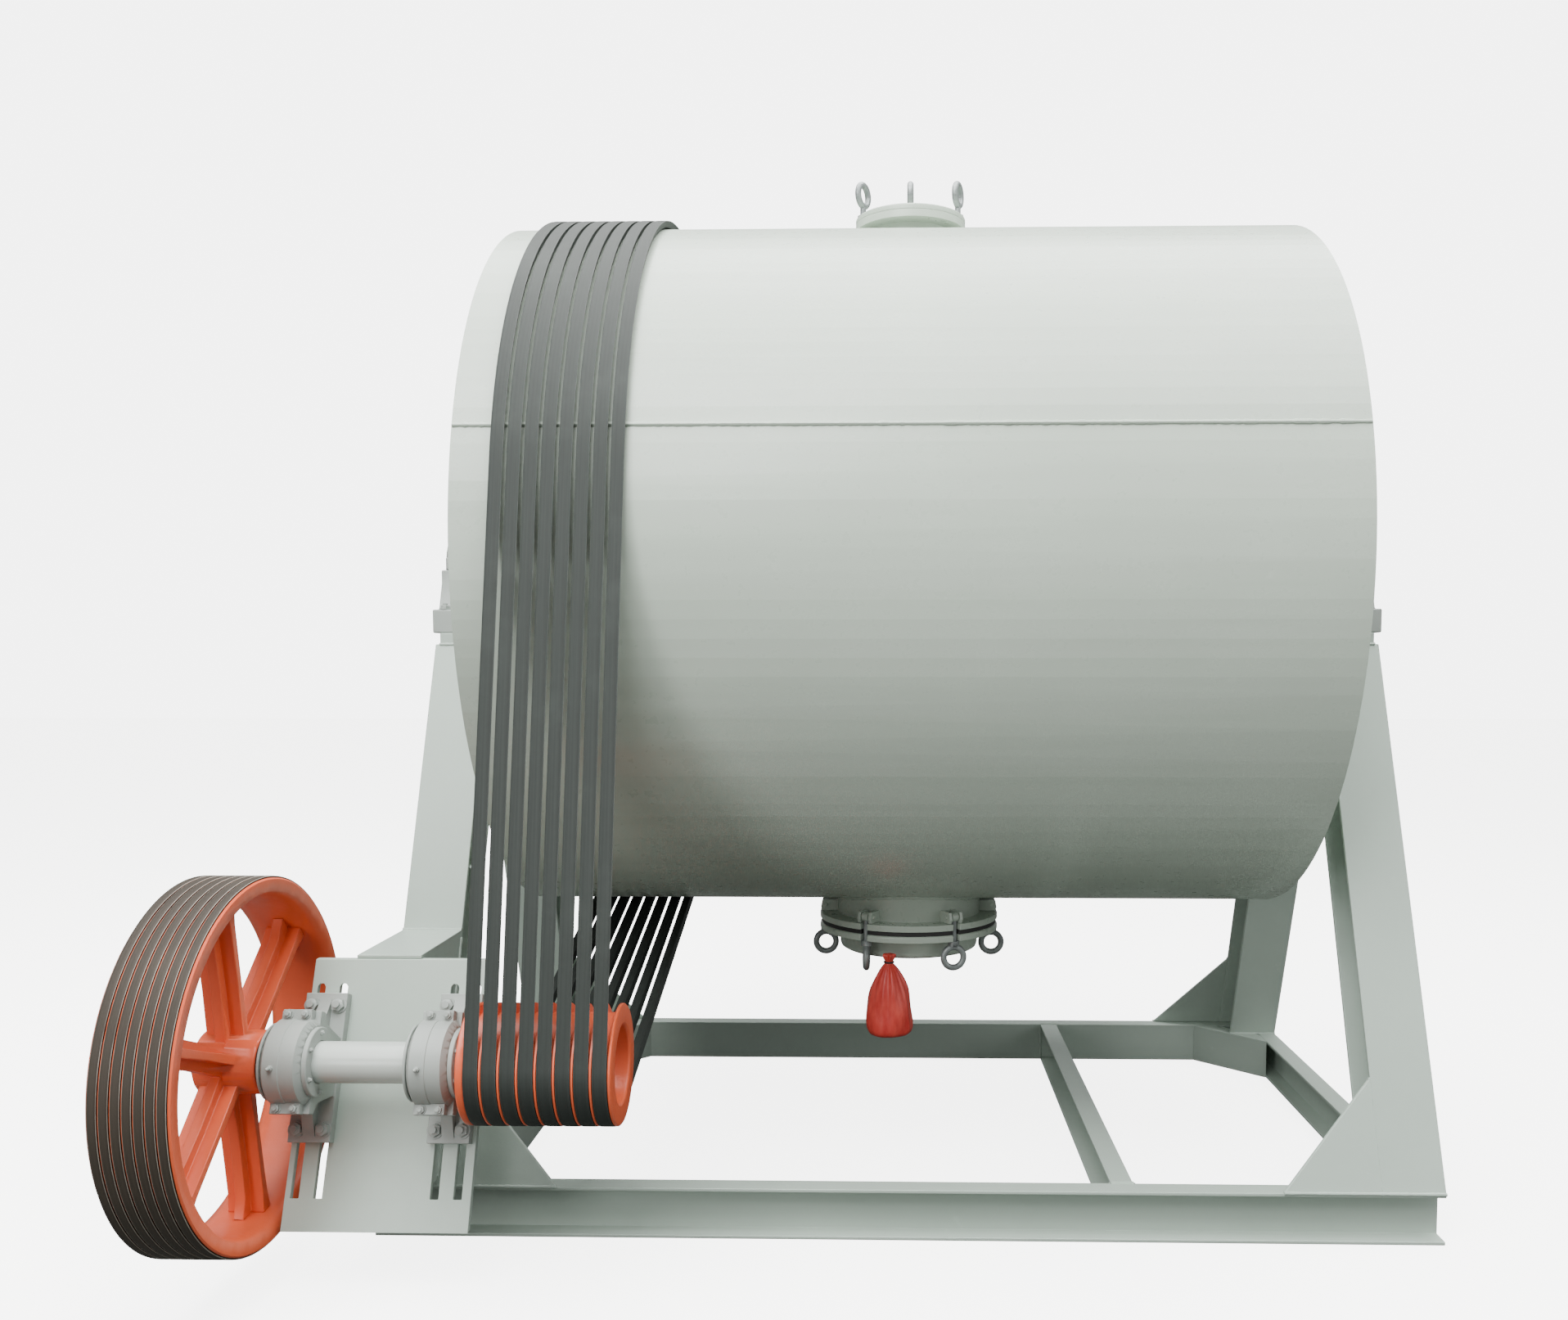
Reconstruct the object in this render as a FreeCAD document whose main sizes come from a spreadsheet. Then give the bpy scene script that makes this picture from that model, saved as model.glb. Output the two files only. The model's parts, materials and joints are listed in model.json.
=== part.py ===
"""Batch ball mill on a welded frame, driven by eight V-belts from a jackshaft.

Millimetres.  +Z is up and the ground is Z = 0.  The drum turns about an axis along X, and the origin lies on
the ground below the middle of the drum.  The front, with the belt drive, faces -Y.
"""
import math
import os
import re

import FreeCAD, Part
import Sketcher

doc = FreeCAD.newDocument("BallMill")
sheet = doc.addObject("Spreadsheet::Sheet", "Sizes")
nodes = []

# ---------------------------------------------------------------- driving dimensions
SIZES = {
    # drum; its seams are in degrees from the rear (+Y) upwards
    "drum_radius": 900, "drum_length": 1966, "shell_plate": 16, "head_plate": 20,
    "axis_height": 1584, "head_inset": 4, "seam_front": 163.2, "seam_top": 30, "seam_below": 295,
    # trunnions
    "journal_radius": 70, "journal_end": 1251, "shoulder_radius": 98, "shoulder_end": 1072,
    "hub_radius": 230, "hub_depth": 38,
    # rolled channels of the base
    "base_half_length": 1237, "base_half_depth": 741, "rail_height": 120, "rail_flange": 53,
    "rail_web": 6, "rail_lip": 9, "cross_beam_place": 480, "inner_beam_place": 1030, "brace_run": 190,
    # H-section legs
    "leg_width": 146, "leg_depth": 150, "leg_web": 8, "leg_plate": 11, "leg_slope": 0.3963,
    "leg_top": 1384, "gusset_plate": 10, "gusset_run": 224, "gusset_rise": 240,
    "left_gusset_run": 280, "left_gusset_rise": 290,
    # trunnion bearings
    "seat_thickness": 30, "seat_inset": 12, "seat_half_depth": 240, "foot_width": 164,
    "foot_half_length": 235, "foot_thickness": 62, "bearing_radius": 150, "bearing_width": 150,
    "bearing_cheek": 178, "cheek_rise": 34, "running_gap": 0.05,
    # jackshaft and its two pillow blocks
    "jack_reach": 1030, "jack_height": 500, "jack_radius": 43, "pillow_height": 140,
    "pillow_left": 1282, "pillow_right": 982, "pillow_width": 84, "pillow_radius": 87,
    "pillow_base_width": 92, "pillow_base_length": 318, "pillow_base_thickness": 24,
    "pillow_rib": 26, "pillow_cheek": 106, "pillow_cheek_rise": 22,
    # mount plate and its bracket on the leg
    "plate_left": 1328, "plate_right": 928, "plate_top": 669, "plate_bottom": 132,
    "plate_thickness": 16, "slot_width": 18, "slot_pitch": 50, "bracket_height": 678,
    "bracket_plate": 10, "lug_low": 690, "lug_high": 820,
    # belts between the jackshaft and the drum
    "belt_count": 8, "belt_pitch": 37, "belt_middle": 747, "belt_top_width": 30, "belt_base_width": 20,
    "belt_thickness": 16, "belt_lift": 5,
    # small pulley
    "small_radius": 125, "small_belt_inner": 110, "small_floor": 106, "small_groove_top": 33,
    "small_groove_base": 21.3, "small_left": 908, "small_right": 594, "small_recess": 80,
    "small_recess_depth": 60,
    # big pulley and the belts lying in its grooves
    "big_radius": 384, "big_face": 1340, "big_width": 156, "big_rim_inner": 346, "big_hub_radius": 66,
    "big_hub_start": 1470, "spoke_count": 6, "spoke_width": 72, "spoke_thickness": 22, "spoke_rib": 78,
    "spoke_rib_thickness": 22, "spoke_phase": 10,
    "motor_belt_count": 7, "motor_belt_pitch": 21.4, "motor_belt_top": 18, "motor_belt_base": 11,
    "motor_belt_thickness": 12, "motor_belt_proud": 4, "seal_radius": 60, "seal_length": 13,
    # manhole under the drum
    "manhole_place": 20, "manhole_neck": 200, "manhole_wall": 12, "manhole_flange": 250,
    "manhole_flange_low": 620, "manhole_flange_thickness": 17, "gasket_thickness": 12,
    "cover_rim_thickness": 18, "cover_radius": 186, "cover_low": 536, "manhole_bolt_circle": 234,
    "manhole_eye_height": 545,
    # charging port on top of the drum
    "port_neck": 106, "port_wall": 10, "port_flange": 150, "port_flange_low": 2512,
    "port_flange_thickness": 20, "port_cover_thickness": 15, "port_bolt_circle": 130,
    "port_eye_height": 2616,
    # swing bolts and their eye nuts
    "bolt_radius": 8, "eye_radius": 28, "eye_wire": 8.5, "collar_radius": 15, "collar_height": 14,
    "bolt_slot": 20,
    # bag tied below the manhole
    "origin_left": 122.5, "origin_front": 248.5, "bag_place": 37, "bag_front": 250, "bag_top": 565, "bag_low": 344, "bag_radius": 66,
}
for row, (name, value) in enumerate(SIZES.items(), start=1):
    sheet.set(f"A{row}", name)
    sheet.set(f"B{row}", str(value))
    sheet.setAlias(f"B{row}", name)
doc.recompute()


def size(expression):
    """The present value of an expression on the sheet, as a plain number."""
    value = sheet.evalExpression(str(expression))
    return float(getattr(value, "Value", value))


def sized(expression):
    """The same expression as another object reads it, with the sheet named before each alias."""
    return re.sub(r"[a-z_]+", lambda m: "Sizes." + m[0] if m[0] in SIZES else m[0], str(expression))


def bind(item, **expressions):
    """Bind properties to expressions; a double underscore stands for a dot."""
    for prop, expression in expressions.items():
        item.setExpression(prop.replace("__", "."), sized(expression))
    return item


def place(item, x="0", y="0", z="0", axis=(0, 0, 1), angle=0.0):
    """Turn an object about its own origin, then move that origin to the given place."""
    item.Placement = FreeCAD.Placement(FreeCAD.Vector(), FreeCAD.Rotation(FreeCAD.Vector(*axis), angle))
    return bind(item, Placement__Base__x=x, Placement__Base__y=y, Placement__Base__z=z)


def node(item, label):
    """Register a finished sub-part under the name of its file."""
    item.Label = label
    nodes.append(item)
    return item


def box(name, width, depth, height, **at):
    item = bind(doc.addObject("Part::Box", name), Length=width, Width=depth, Height=height)
    return place(item, **at)


def cylinder(name, radius, height, **at):
    item = bind(doc.addObject("Part::Cylinder", name), Radius=radius, Height=height)
    return place(item, **at)


def fuse(name, shapes):
    item = doc.addObject("Part::MultiFuse", name)
    item.Shapes = shapes
    return item


def cut(name, base, tools):
    item = doc.addObject("Part::Cut", name)
    item.Base = base
    item.Tool = tools[0] if len(tools) == 1 else fuse(name + "Tools", tools)
    return item


def group(name, links):
    """Like pieces that do not touch, kept together in one sub-part."""
    item = doc.addObject("Part::Compound", name)
    item.Links = links
    return item


def new_body(name):
    body = doc.addObject("PartDesign::Body", name)
    body.AllowCompound = True
    return body


def origin_item(body, role):
    return next(f for f in body.Origin.OriginFeatures if f.Role == role)


def new_sketch(body, name, plane):
    sketch = body.newObject("Sketcher::SketchObject", name)
    sketch.AttachmentSupport = [(origin_item(body, plane), "")]
    sketch.MapMode = "FlatFace"
    return sketch


def pin(sketch, geometry, point, x, y):
    """Dimension a point of a sketch from the origin, along both directions."""
    for kind, expression, zero_axis in (("DistanceX", x, -2), ("DistanceY", y, -1)):
        value = size(expression)
        if abs(value) < 1e-9:
            sketch.addConstraint(Sketcher.Constraint("PointOnObject", geometry, point, zero_axis))
            continue
        index = sketch.addConstraint(Sketcher.Constraint(kind, -1, 1, geometry, point, value))
        sketch.setExpression(f"Constraints[{index}]", sized(expression))


def polygon(sketch, corners):
    """A closed outline with straight sides, given by its corners in order."""
    spots = [FreeCAD.Vector(size(x), size(y), 0) for x, y in corners]
    first = sketch.GeometryCount
    for i, spot in enumerate(spots):
        sketch.addGeometry(Part.LineSegment(spot, spots[(i + 1) % len(spots)]), False)
    for i in range(len(spots)):
        following = first + (i + 1) % len(spots)
        sketch.addConstraint(Sketcher.Constraint("Coincident", first + i, 2, following, 1))
    for i, (x, y) in enumerate(corners):
        pin(sketch, first + i, 1, x, y)


def circle(sketch, x, y, radius):
    centre = FreeCAD.Vector(size(x), size(y), 0)
    item = sketch.addGeometry(Part.Circle(centre, FreeCAD.Vector(0, 0, 1), size(radius)), False)
    index = sketch.addConstraint(Sketcher.Constraint("Radius", item, size(radius)))
    sketch.setExpression(f"Constraints[{index}]", sized(radius))
    pin(sketch, item, 3, x, y)


def pad(body, name, sketch, length, middle=False, back=False):
    feature = body.newObject("PartDesign::Pad", name)
    feature.Profile = sketch
    bind(feature, Length=length)
    feature.Midplane = middle
    feature.Reversed = back
    return feature


def pocket(body, name, sketch):
    """Cut a sketch right through the body, to both sides of its plane."""
    feature = body.newObject("PartDesign::Pocket", name)
    feature.Profile = sketch
    feature.Type = 1
    feature.Midplane = True
    return feature


def revolve(body, name, sketch, axis, angle="360", kind="Revolution"):
    feature = body.newObject("PartDesign::" + kind, name)
    feature.Profile = sketch
    feature.ReferenceAxis = (sketch, [axis])
    bind(feature, Angle=angle)
    return feature


def turned(name, corners, angle="360"):
    """A body turned about X, from the +Y side upwards: the corners are (place along X, radius)."""
    body = new_body(name)
    sketch = new_sketch(body, name + "Profile", "XY_Plane")
    polygon(sketch, corners)
    revolve(body, name + "Turn", sketch, "H_Axis", angle)
    return body


def turned_upright(name, corners):
    """A body turned about Z: the corners are (radius, height)."""
    body = new_body(name)
    sketch = new_sketch(body, name + "Profile", "XZ_Plane")
    polygon(sketch, corners)
    revolve(body, name + "Turn", sketch, "V_Axis")
    return body


def rod(name, radius, start, end, y="0", z="0"):
    """A round bar along X from start to end."""
    return cylinder(name, radius, f"({end}) - ({start})", x=start, y=y, z=z, axis=(0, 1, 0), angle=90)


# ---------------------------------------------------------------- base frame
def channel(name, length, **at):
    """A channel along X: its web stands on the plane Y = 0 and its flanges reach towards -Y."""
    body = new_body(name)
    sketch = new_sketch(body, name + "Section", "YZ_Plane")
    polygon(sketch, [
        ("0", "0"), ("-rail_flange", "0"), ("-rail_flange", "rail_lip"), ("-rail_web", "rail_lip"),
        ("-rail_web", "rail_height - rail_lip"), ("-rail_flange", "rail_height - rail_lip"),
        ("-rail_flange", "rail_height"), ("0", "rail_height")])
    pad(body, name + "Run", sketch, length)
    return place(body, **at)


INSIDE = "(base_half_depth - rail_flange)"
node(channel("FrontRail", "2 * base_half_length", x="-base_half_length", y=f"-{INSIDE}"), "front_rail")
node(channel("RearRail", "2 * base_half_length", x="base_half_length", y=INSIDE, angle=180), "rear_rail")
for name, label, web in (("CrossBeam", "middle_cross_beam", "cross_beam_place + rail_flange"),
                         ("RightBeam", "right_end_beam", "base_half_length"),
                         ("InnerBeam", "left_inner_beam", "-inner_beam_place")):
    node(channel(name, f"2 * {INSIDE}", x=web, y=INSIDE, angle=-90), label)
node(channel("LeftBeam", f"2 * {INSIDE}", x="-base_half_length", y=f"-{INSIDE}", angle=90), "left_end_beam")


def corner_brace(name, side, beam):
    """A short channel across a rear corner, mitred onto the rear rail and the beam beside it."""
    wide = f"{side} * ({beam})"
    near = f"{side} * ({beam} - brace_run)"
    outer = new_body(name)
    sketch = new_sketch(outer, name + "Plan", "XY_Plane")
    polygon(sketch, [(near, INSIDE), (wide, f"{INSIDE} - brace_run"),
                     (wide, f"{INSIDE} - brace_run + rail_flange * 1.4142"),
                     (f"{near} + {side} * rail_flange * 1.4142", INSIDE)])
    pad(outer, name + "Block", sketch, "rail_height")
    hollow = new_body(name + "Hollow")
    sketch = new_sketch(hollow, name + "HollowPlan", "XY_Plane")
    polygon(sketch, [(f"{near} + {side} * rail_web * 1.4142", INSIDE),
                     (wide, f"{INSIDE} - brace_run + rail_web * 1.4142"), (wide, INSIDE)])
    pad(hollow, name + "HollowBlock", sketch, "rail_height - 2 * rail_lip")
    place(hollow, z="rail_lip")
    return cut(name + "Channel", outer, [hollow])


node(corner_brace("BraceRight", "1", "base_half_length - rail_flange"), "right_corner_brace")
node(corner_brace("BraceLeft", "-1", "inner_beam_place"), "left_corner_brace")


# ---------------------------------------------------------------- legs and gussets
def leaning(inset, low, high):
    """Corners of a strip that leans with the front legs, a given distance behind their faces."""
    return [(f"-base_half_depth + {inset} + leg_slope * ({z} - rail_height)", z) for z in (low, high)]


def strip(sketch, near, far, low, high):
    front = leaning(near, low, high)
    polygon(sketch, front + leaning(far, low, high)[::-1])


def leg(name, x, angle):
    """An H-section leg whose web stands in a plane across the machine."""
    body = new_body(name)
    web = new_sketch(body, name + "WebShape", "YZ_Plane")
    strip(web, "0", "leg_depth", "rail_height", "leg_top")
    pad(body, name + "Web", web, "leg_web", middle=True)
    flanges = new_sketch(body, name + "FlangeShape", "YZ_Plane")
    strip(flanges, "0", "leg_plate", "rail_height", "leg_top")
    strip(flanges, "(leg_depth - leg_plate)", "leg_depth", "rail_height", "leg_top")
    pad(body, name + "Flanges", flanges, "leg_width", middle=True)
    return place(body, x=x, angle=angle)


LEG_X = "(base_half_length - leg_width / 2)"
node(leg("LegFrontLeft", f"-{LEG_X}", 0), "front_left_leg")
node(leg("LegFrontRight", LEG_X, 0), "front_right_leg")
node(leg("LegRearLeft", f"-{LEG_X}", 180), "rear_left_leg")
node(leg("LegRearRight", LEG_X, 180), "rear_right_leg")


def gusset(name, side, run, rise, angle):
    """A triangular foot plate in the plane of a leg's outer flange, from its inner edge inwards."""
    body = new_body(name)
    edge = new_sketch(body, name + "Edge", "YZ_Plane")
    strip(edge, "0", "gusset_plate", "rail_height", f"rail_height + {rise}")
    pad(body, name + "Plate", edge, run, back=side < 0)
    corner = new_sketch(body, name + "Corner", "XZ_Plane")
    polygon(corner, [("0", f"rail_height + {rise}"), (f"{side} * {run}", "rail_height"),
                     (f"{side} * ({run} + 20)", "rail_height"),
                     (f"{side} * ({run} + 20)", f"rail_height + {rise} + 20"),
                     ("0", f"rail_height + {rise} + 20")])
    pocket(body, name + "Slant", corner)
    return place(body, x=f"{-side} * (base_half_length - leg_width)" if not angle else
                 f"{side} * (base_half_length - leg_width)", angle=angle)


node(group("FrontGussets", [gusset("GussetFrontLeft", 1, "left_gusset_run", "left_gusset_rise", 0),
                            gusset("GussetFrontRight", -1, "gusset_run", "gusset_rise", 0)]),
     "front_gussets")
node(group("RearGussets", [gusset("GussetRearLeft", -1, "gusset_run", "gusset_rise", 180),
                           gusset("GussetRearRight", 1, "gusset_run", "gusset_rise", 180)]),
     "rear_gussets")


# ---------------------------------------------------------------- trunnion bearings
def trunnion_bearing(side, word):
    """Seat plate across two leg tops, then a split plummer block: its base below the axis, its cap above."""
    centre = f"{side} * {LEG_X}"
    seat_width = "(leg_width - 2 * seat_inset)"
    seat = box(word + "Seat", seat_width, "2 * seat_half_depth", "seat_thickness",
               x=f"{centre} - {seat_width} / 2", y="-seat_half_depth", z="leg_top")
    node(seat, f"{word.lower()}_bearing_seat")

    floor = "leg_top + seat_thickness"
    base = new_body(word + "Base")
    foot = new_sketch(base, word + "FootShape", "YZ_Plane")
    polygon(foot, [("-foot_half_length", floor), ("foot_half_length", floor),
                   ("foot_half_length", f"{floor} + foot_thickness"),
                   ("-foot_half_length", f"{floor} + foot_thickness")])
    pad(base, word + "Foot", foot, "foot_width", middle=True)
    trunk = new_sketch(base, word + "TrunkShape", "YZ_Plane")
    polygon(trunk, [("-foot_half_length + 30", f"{floor} + foot_thickness"),
                    ("foot_half_length - 30", f"{floor} + foot_thickness"),
                    ("bearing_cheek", "axis_height - cheek_rise"), ("bearing_cheek", "axis_height"),
                    ("-bearing_cheek", "axis_height"), ("-bearing_cheek", "axis_height - cheek_rise")])
    pad(base, word + "Trunk", trunk, "bearing_width", middle=True)
    bore = new_sketch(base, word + "BoreShape", "YZ_Plane")
    circle(bore, "0", "axis_height", "journal_radius + running_gap")
    pocket(base, word + "Bore", bore)
    place(base, x=centre)
    node(base, f"{word.lower()}_bearing_base")

    half = turned(word + "Cap", [("-bearing_width / 2", "journal_radius + running_gap"),
                                 ("bearing_width / 2", "journal_radius + running_gap"),
                                 ("bearing_width / 2", "bearing_radius - 12"),
                                 ("bearing_width / 2 - 12", "bearing_radius"),
                                 ("-bearing_width / 2 + 12", "bearing_radius"),
                                 ("-bearing_width / 2", "bearing_radius - 12")], "180")
    place(half, x=centre, z="axis_height")
    cheeks = [box(word + name, "bearing_width - 24", "bearing_cheek - bearing_radius + 30", "cheek_rise",
                  x=f"{centre} - bearing_width / 2 + 12", y=y, z="axis_height")
              for name, y in (("CheekRear", "bearing_radius - 30"), ("CheekFront", "-bearing_cheek"))]
    node(fuse(word + "CapWhole", [half] + cheeks), f"{word.lower()}_bearing_cap")


trunnion_bearing("-1", "Left")
trunnion_bearing("1", "Right")

# ---------------------------------------------------------------- mount plate on the front left leg
TILT = math.degrees(math.atan(size("leg_slope")))
SECANT = "sqrt(1 + leg_slope * leg_slope)"
# the plate's front face passes the shaft's centre at the pillow height, measured square to the plate
PLATE_FACE = f"(-jack_reach + pillow_height * {SECANT})"
plate_box = new_body("MountPlate")
edge = new_sketch(plate_box, "MountPlateEdge", "YZ_Plane")
polygon(edge, [(f"{PLATE_FACE} + leg_slope * ({z} - jack_height) + {inset} * plate_thickness * {SECANT}", z)
               for inset, z in ((0, "plate_bottom"), (0, "plate_top"), (1, "plate_top"), (1, "plate_bottom"))])
pad(plate_box, "MountPlateRun", edge, "plate_left - plate_right")
place(plate_box, x="-plate_left")
# adjusting slots: place across the plate, lower and upper end in height
slot_tools = []
for centre in ("-pillow_left", "-pillow_right"):
    for way in (-1, 1):
        for low, high in (("185", "352"), ("540", "612")):
            number = len(slot_tools)
            body = new_body(f"Slot{number}")
            sketch = new_sketch(body, f"Slot{number}Shape", "XZ_Plane")
            across = f"{centre} + {way} * slot_pitch / 2"
            polygon(sketch, [(f"{across} - slot_width / 2", low), (f"{across} - slot_width / 4", f"{low} - 6"),
                             (f"{across} + slot_width / 4", f"{low} - 6"), (f"{across} + slot_width / 2", low),
                             (f"{across} + slot_width / 2", high), (f"{across} + slot_width / 4", f"{high} + 6"),
                             (f"{across} - slot_width / 4", f"{high} + 6"),
                             (f"{across} - slot_width / 2", high)])
            pad(body, f"Slot{number}Run", sketch, "2000", middle=True)
            slot_tools.append(body)
node(cut("MountPlateSlotted", plate_box, slot_tools), "mount_plate")

PLATE_BACK = f"({PLATE_FACE} + plate_thickness * {SECANT})"
side_plates = []
for name, x in (("Outer", "-base_half_length"), ("Inner", "-base_half_length + leg_width - bracket_plate")):
    body = new_body("Bracket" + name)
    sketch = new_sketch(body, f"Bracket{name}Shape", "YZ_Plane")
    back = [(f"{PLATE_BACK} + leg_slope * ({z} - jack_height)", z) for z in ("plate_bottom", "plate_top")]
    polygon(sketch, back + leaning("0", "plate_bottom", "plate_top")[::-1])
    pad(body, f"Bracket{name}Run", sketch, "bracket_plate")
    side_plates.append(place(body, x=x))
roof = new_body("BracketRoof")
sketch = new_sketch(roof, "BracketRoofShape", "YZ_Plane")
polygon(sketch, [(f"{PLATE_BACK} + leg_slope * (plate_top - jack_height)", "plate_top"),
                 leaning("0", "plate_top", "bracket_height")[0], leaning("0", "plate_top", "bracket_height")[1],
                 (f"{PLATE_BACK} + leg_slope * (plate_top - jack_height) - 12", "bracket_height"),
                 (f"{PLATE_BACK} + leg_slope * (plate_top - jack_height) - 12", "plate_top")])
pad(roof, "BracketRoofRun", sketch, "leg_width")
place(roof, x="-base_half_length")
node(fuse("Bracket", side_plates + [roof]), "mount_bracket")

lug = new_body("LegLug")
sketch = new_sketch(lug, "LegLugShape", "YZ_Plane")
strip(sketch, "leg_plate", "leg_plate + 22", "lug_low", "lug_high")
pad(lug, "LegLugRun", sketch, "10")
place(lug, x="-base_half_length + leg_width - 16")
cap = new_body("LegLugCap")
sketch = new_sketch(cap, "LegLugCapShape", "YZ_Plane")
strip(sketch, "leg_plate", "leg_plate + 40", "lug_high", "lug_high + 6")
pad(cap, "LegLugCapRun", sketch, "30")
place(cap, x="-base_half_length + leg_width - 24")
node(fuse("LegLugWhole", [lug, cap]), "leg_lug")


# ---------------------------------------------------------------- pillow blocks of the jackshaft
def pillow_block(word, centre):
    """A split pillow block standing square on the sloping plate; local Z points away from the plate."""
    at = {"x": centre, "y": f"-jack_reach + pillow_height / {SECANT}",
          "z": f"jack_height - pillow_height * leg_slope / {SECANT}", "axis": (1, 0, 0), "angle": 90 - TILT}
    base = new_body(word + "PillowBase")
    foot = new_sketch(base, word + "PillowFootShape", "YZ_Plane")
    half = "pillow_base_length / 2"
    polygon(foot, [(f"-{half}", "0"), (half, "0"), (half, "pillow_base_thickness"),
                   (f"-{half}", "pillow_base_thickness")])
    pad(base, word + "PillowFoot", foot, "pillow_base_width", middle=True)
    rib = new_sketch(base, word + "PillowRibShape", "YZ_Plane")
    polygon(rib, [(f"-{half} + 8", "pillow_base_thickness"), (f"{half} - 8", "pillow_base_thickness"),
                  ("pillow_radius", "pillow_base_thickness + 34"), ("-pillow_radius", "pillow_base_thickness + 34")])
    pad(base, word + "PillowRib", rib, "pillow_rib", middle=True)
    trunk = new_sketch(base, word + "PillowTrunkShape", "YZ_Plane")
    polygon(trunk, [("-62", "pillow_base_thickness"), ("62", "pillow_base_thickness"),
                    ("pillow_radius - 6", "pillow_height - 40"), ("pillow_cheek", "pillow_height - pillow_cheek_rise"),
                    ("pillow_cheek", "pillow_height"), ("-pillow_cheek", "pillow_height"),
                    ("-pillow_cheek", "pillow_height - pillow_cheek_rise"),
                    ("-pillow_radius + 6", "pillow_height - 40")])
    pad(base, word + "PillowTrunk", trunk, "pillow_width", middle=True)
    bore = new_sketch(base, word + "PillowBoreShape", "YZ_Plane")
    circle(bore, "0", "pillow_height", "jack_radius + running_gap")
    pocket(base, word + "PillowBore", bore)
    place(base, **at)
    node(base, f"{word.lower()}_pillow_base")

    edge = "pillow_width / 2"
    half_ring = turned(word + "PillowCap", [(f"-{edge}", "jack_radius + running_gap"),
                                            (edge, "jack_radius + running_gap"),
                                            (edge, "pillow_radius - 14"), (f"{edge} - 10", "pillow_radius"),
                                            (f"-{edge} + 10", "pillow_radius"), (f"-{edge}", "pillow_radius - 14")],
                       "180")
    place(half_ring, x=centre, y="-jack_reach", z="jack_height", axis=(1, 0, 0), angle=90 - TILT)
    cheeks = new_body(word + "PillowCheeks")
    shape = new_sketch(cheeks, word + "PillowCheekShape", "YZ_Plane")
    for way in ("", "-"):
        polygon(shape, [(f"{way}(pillow_radius - 22)", "0"), (f"{way}pillow_cheek", "0"),
                        (f"{way}pillow_cheek", "pillow_cheek_rise"),
                        (f"{way}(pillow_radius - 22)", "pillow_cheek_rise")])
    pad(cheeks, word + "PillowCheek", shape, "pillow_width - 24", middle=True)
    place(cheeks, x=centre, y="-jack_reach", z="jack_height", axis=(1, 0, 0), angle=90 - TILT)
    node(fuse(word + "PillowCapWhole", [half_ring, cheeks]), f"{word.lower()}_pillow_cap")


pillow_block("Left", "-pillow_left")
pillow_block("Right", "-pillow_right")

# ---------------------------------------------------------------- drum shell, heads and trunnions
manhole_hole = cylinder("ManholeHole", "manhole_neck", "drum_radius", x="manhole_place",
                        z="axis_height - drum_radius - 100")
port_hole = cylinder("PortHole", "port_neck", "drum_radius", x="manhole_place", z="axis_height + 100")


def shell_plate(name, start, end):
    """One rolled plate of the shell, from one seam to the next, turned about the drum's axis."""
    body = turned(name, [(f"{a} * drum_length / 2", f"drum_radius - {b}")
                         for a, b in ((-1, "shell_plate"), (1, "shell_plate"), (1, 0), (-1, 0))],
                  f"{end} - ({start})")
    return place(body, z="axis_height", axis=(1, 0, 0), angle=size(start))


node(cut("ShellFrontOpen", shell_plate("ShellFront", "seam_front", "seam_below"), [manhole_hole]),
     "drum_shell_front")
node(cut("ShellTopOpen", shell_plate("ShellTop", "seam_top", "seam_front"), [port_hole]), "drum_shell_top")
node(shell_plate("ShellRear", "seam_below - 360", "seam_top"), "drum_shell_rear")

HEAD_FACE = "(drum_length / 2 - head_inset)"
for word, side, start in (("Left", -1, f"-{HEAD_FACE}"), ("Right", 1, f"{HEAD_FACE} - head_plate")):
    node(rod(word + "Head", "drum_radius - shell_plate", start, f"{start} + head_plate", z="axis_height"),
         f"{word.lower()}_head")
    profile = [(HEAD_FACE, "0"), (HEAD_FACE, "hub_radius"), (f"{HEAD_FACE} + hub_depth - 6", "hub_radius"),
               (f"{HEAD_FACE} + hub_depth", "hub_radius - 6"), (f"{HEAD_FACE} + hub_depth", "shoulder_radius + 14"),
               (f"{HEAD_FACE} + hub_depth + 14", "shoulder_radius"), ("shoulder_end", "shoulder_radius"),
               ("shoulder_end", "journal_radius"), ("journal_end - 4", "journal_radius"),
               ("journal_end", "journal_radius - 4"), ("journal_end", "0")]
    trunnion = turned(word + "Trunnion", [(f"{side} * ({x})", r) for x, r in profile])
    node(place(trunnion, z="axis_height"), f"{word.lower()}_trunnion")


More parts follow.
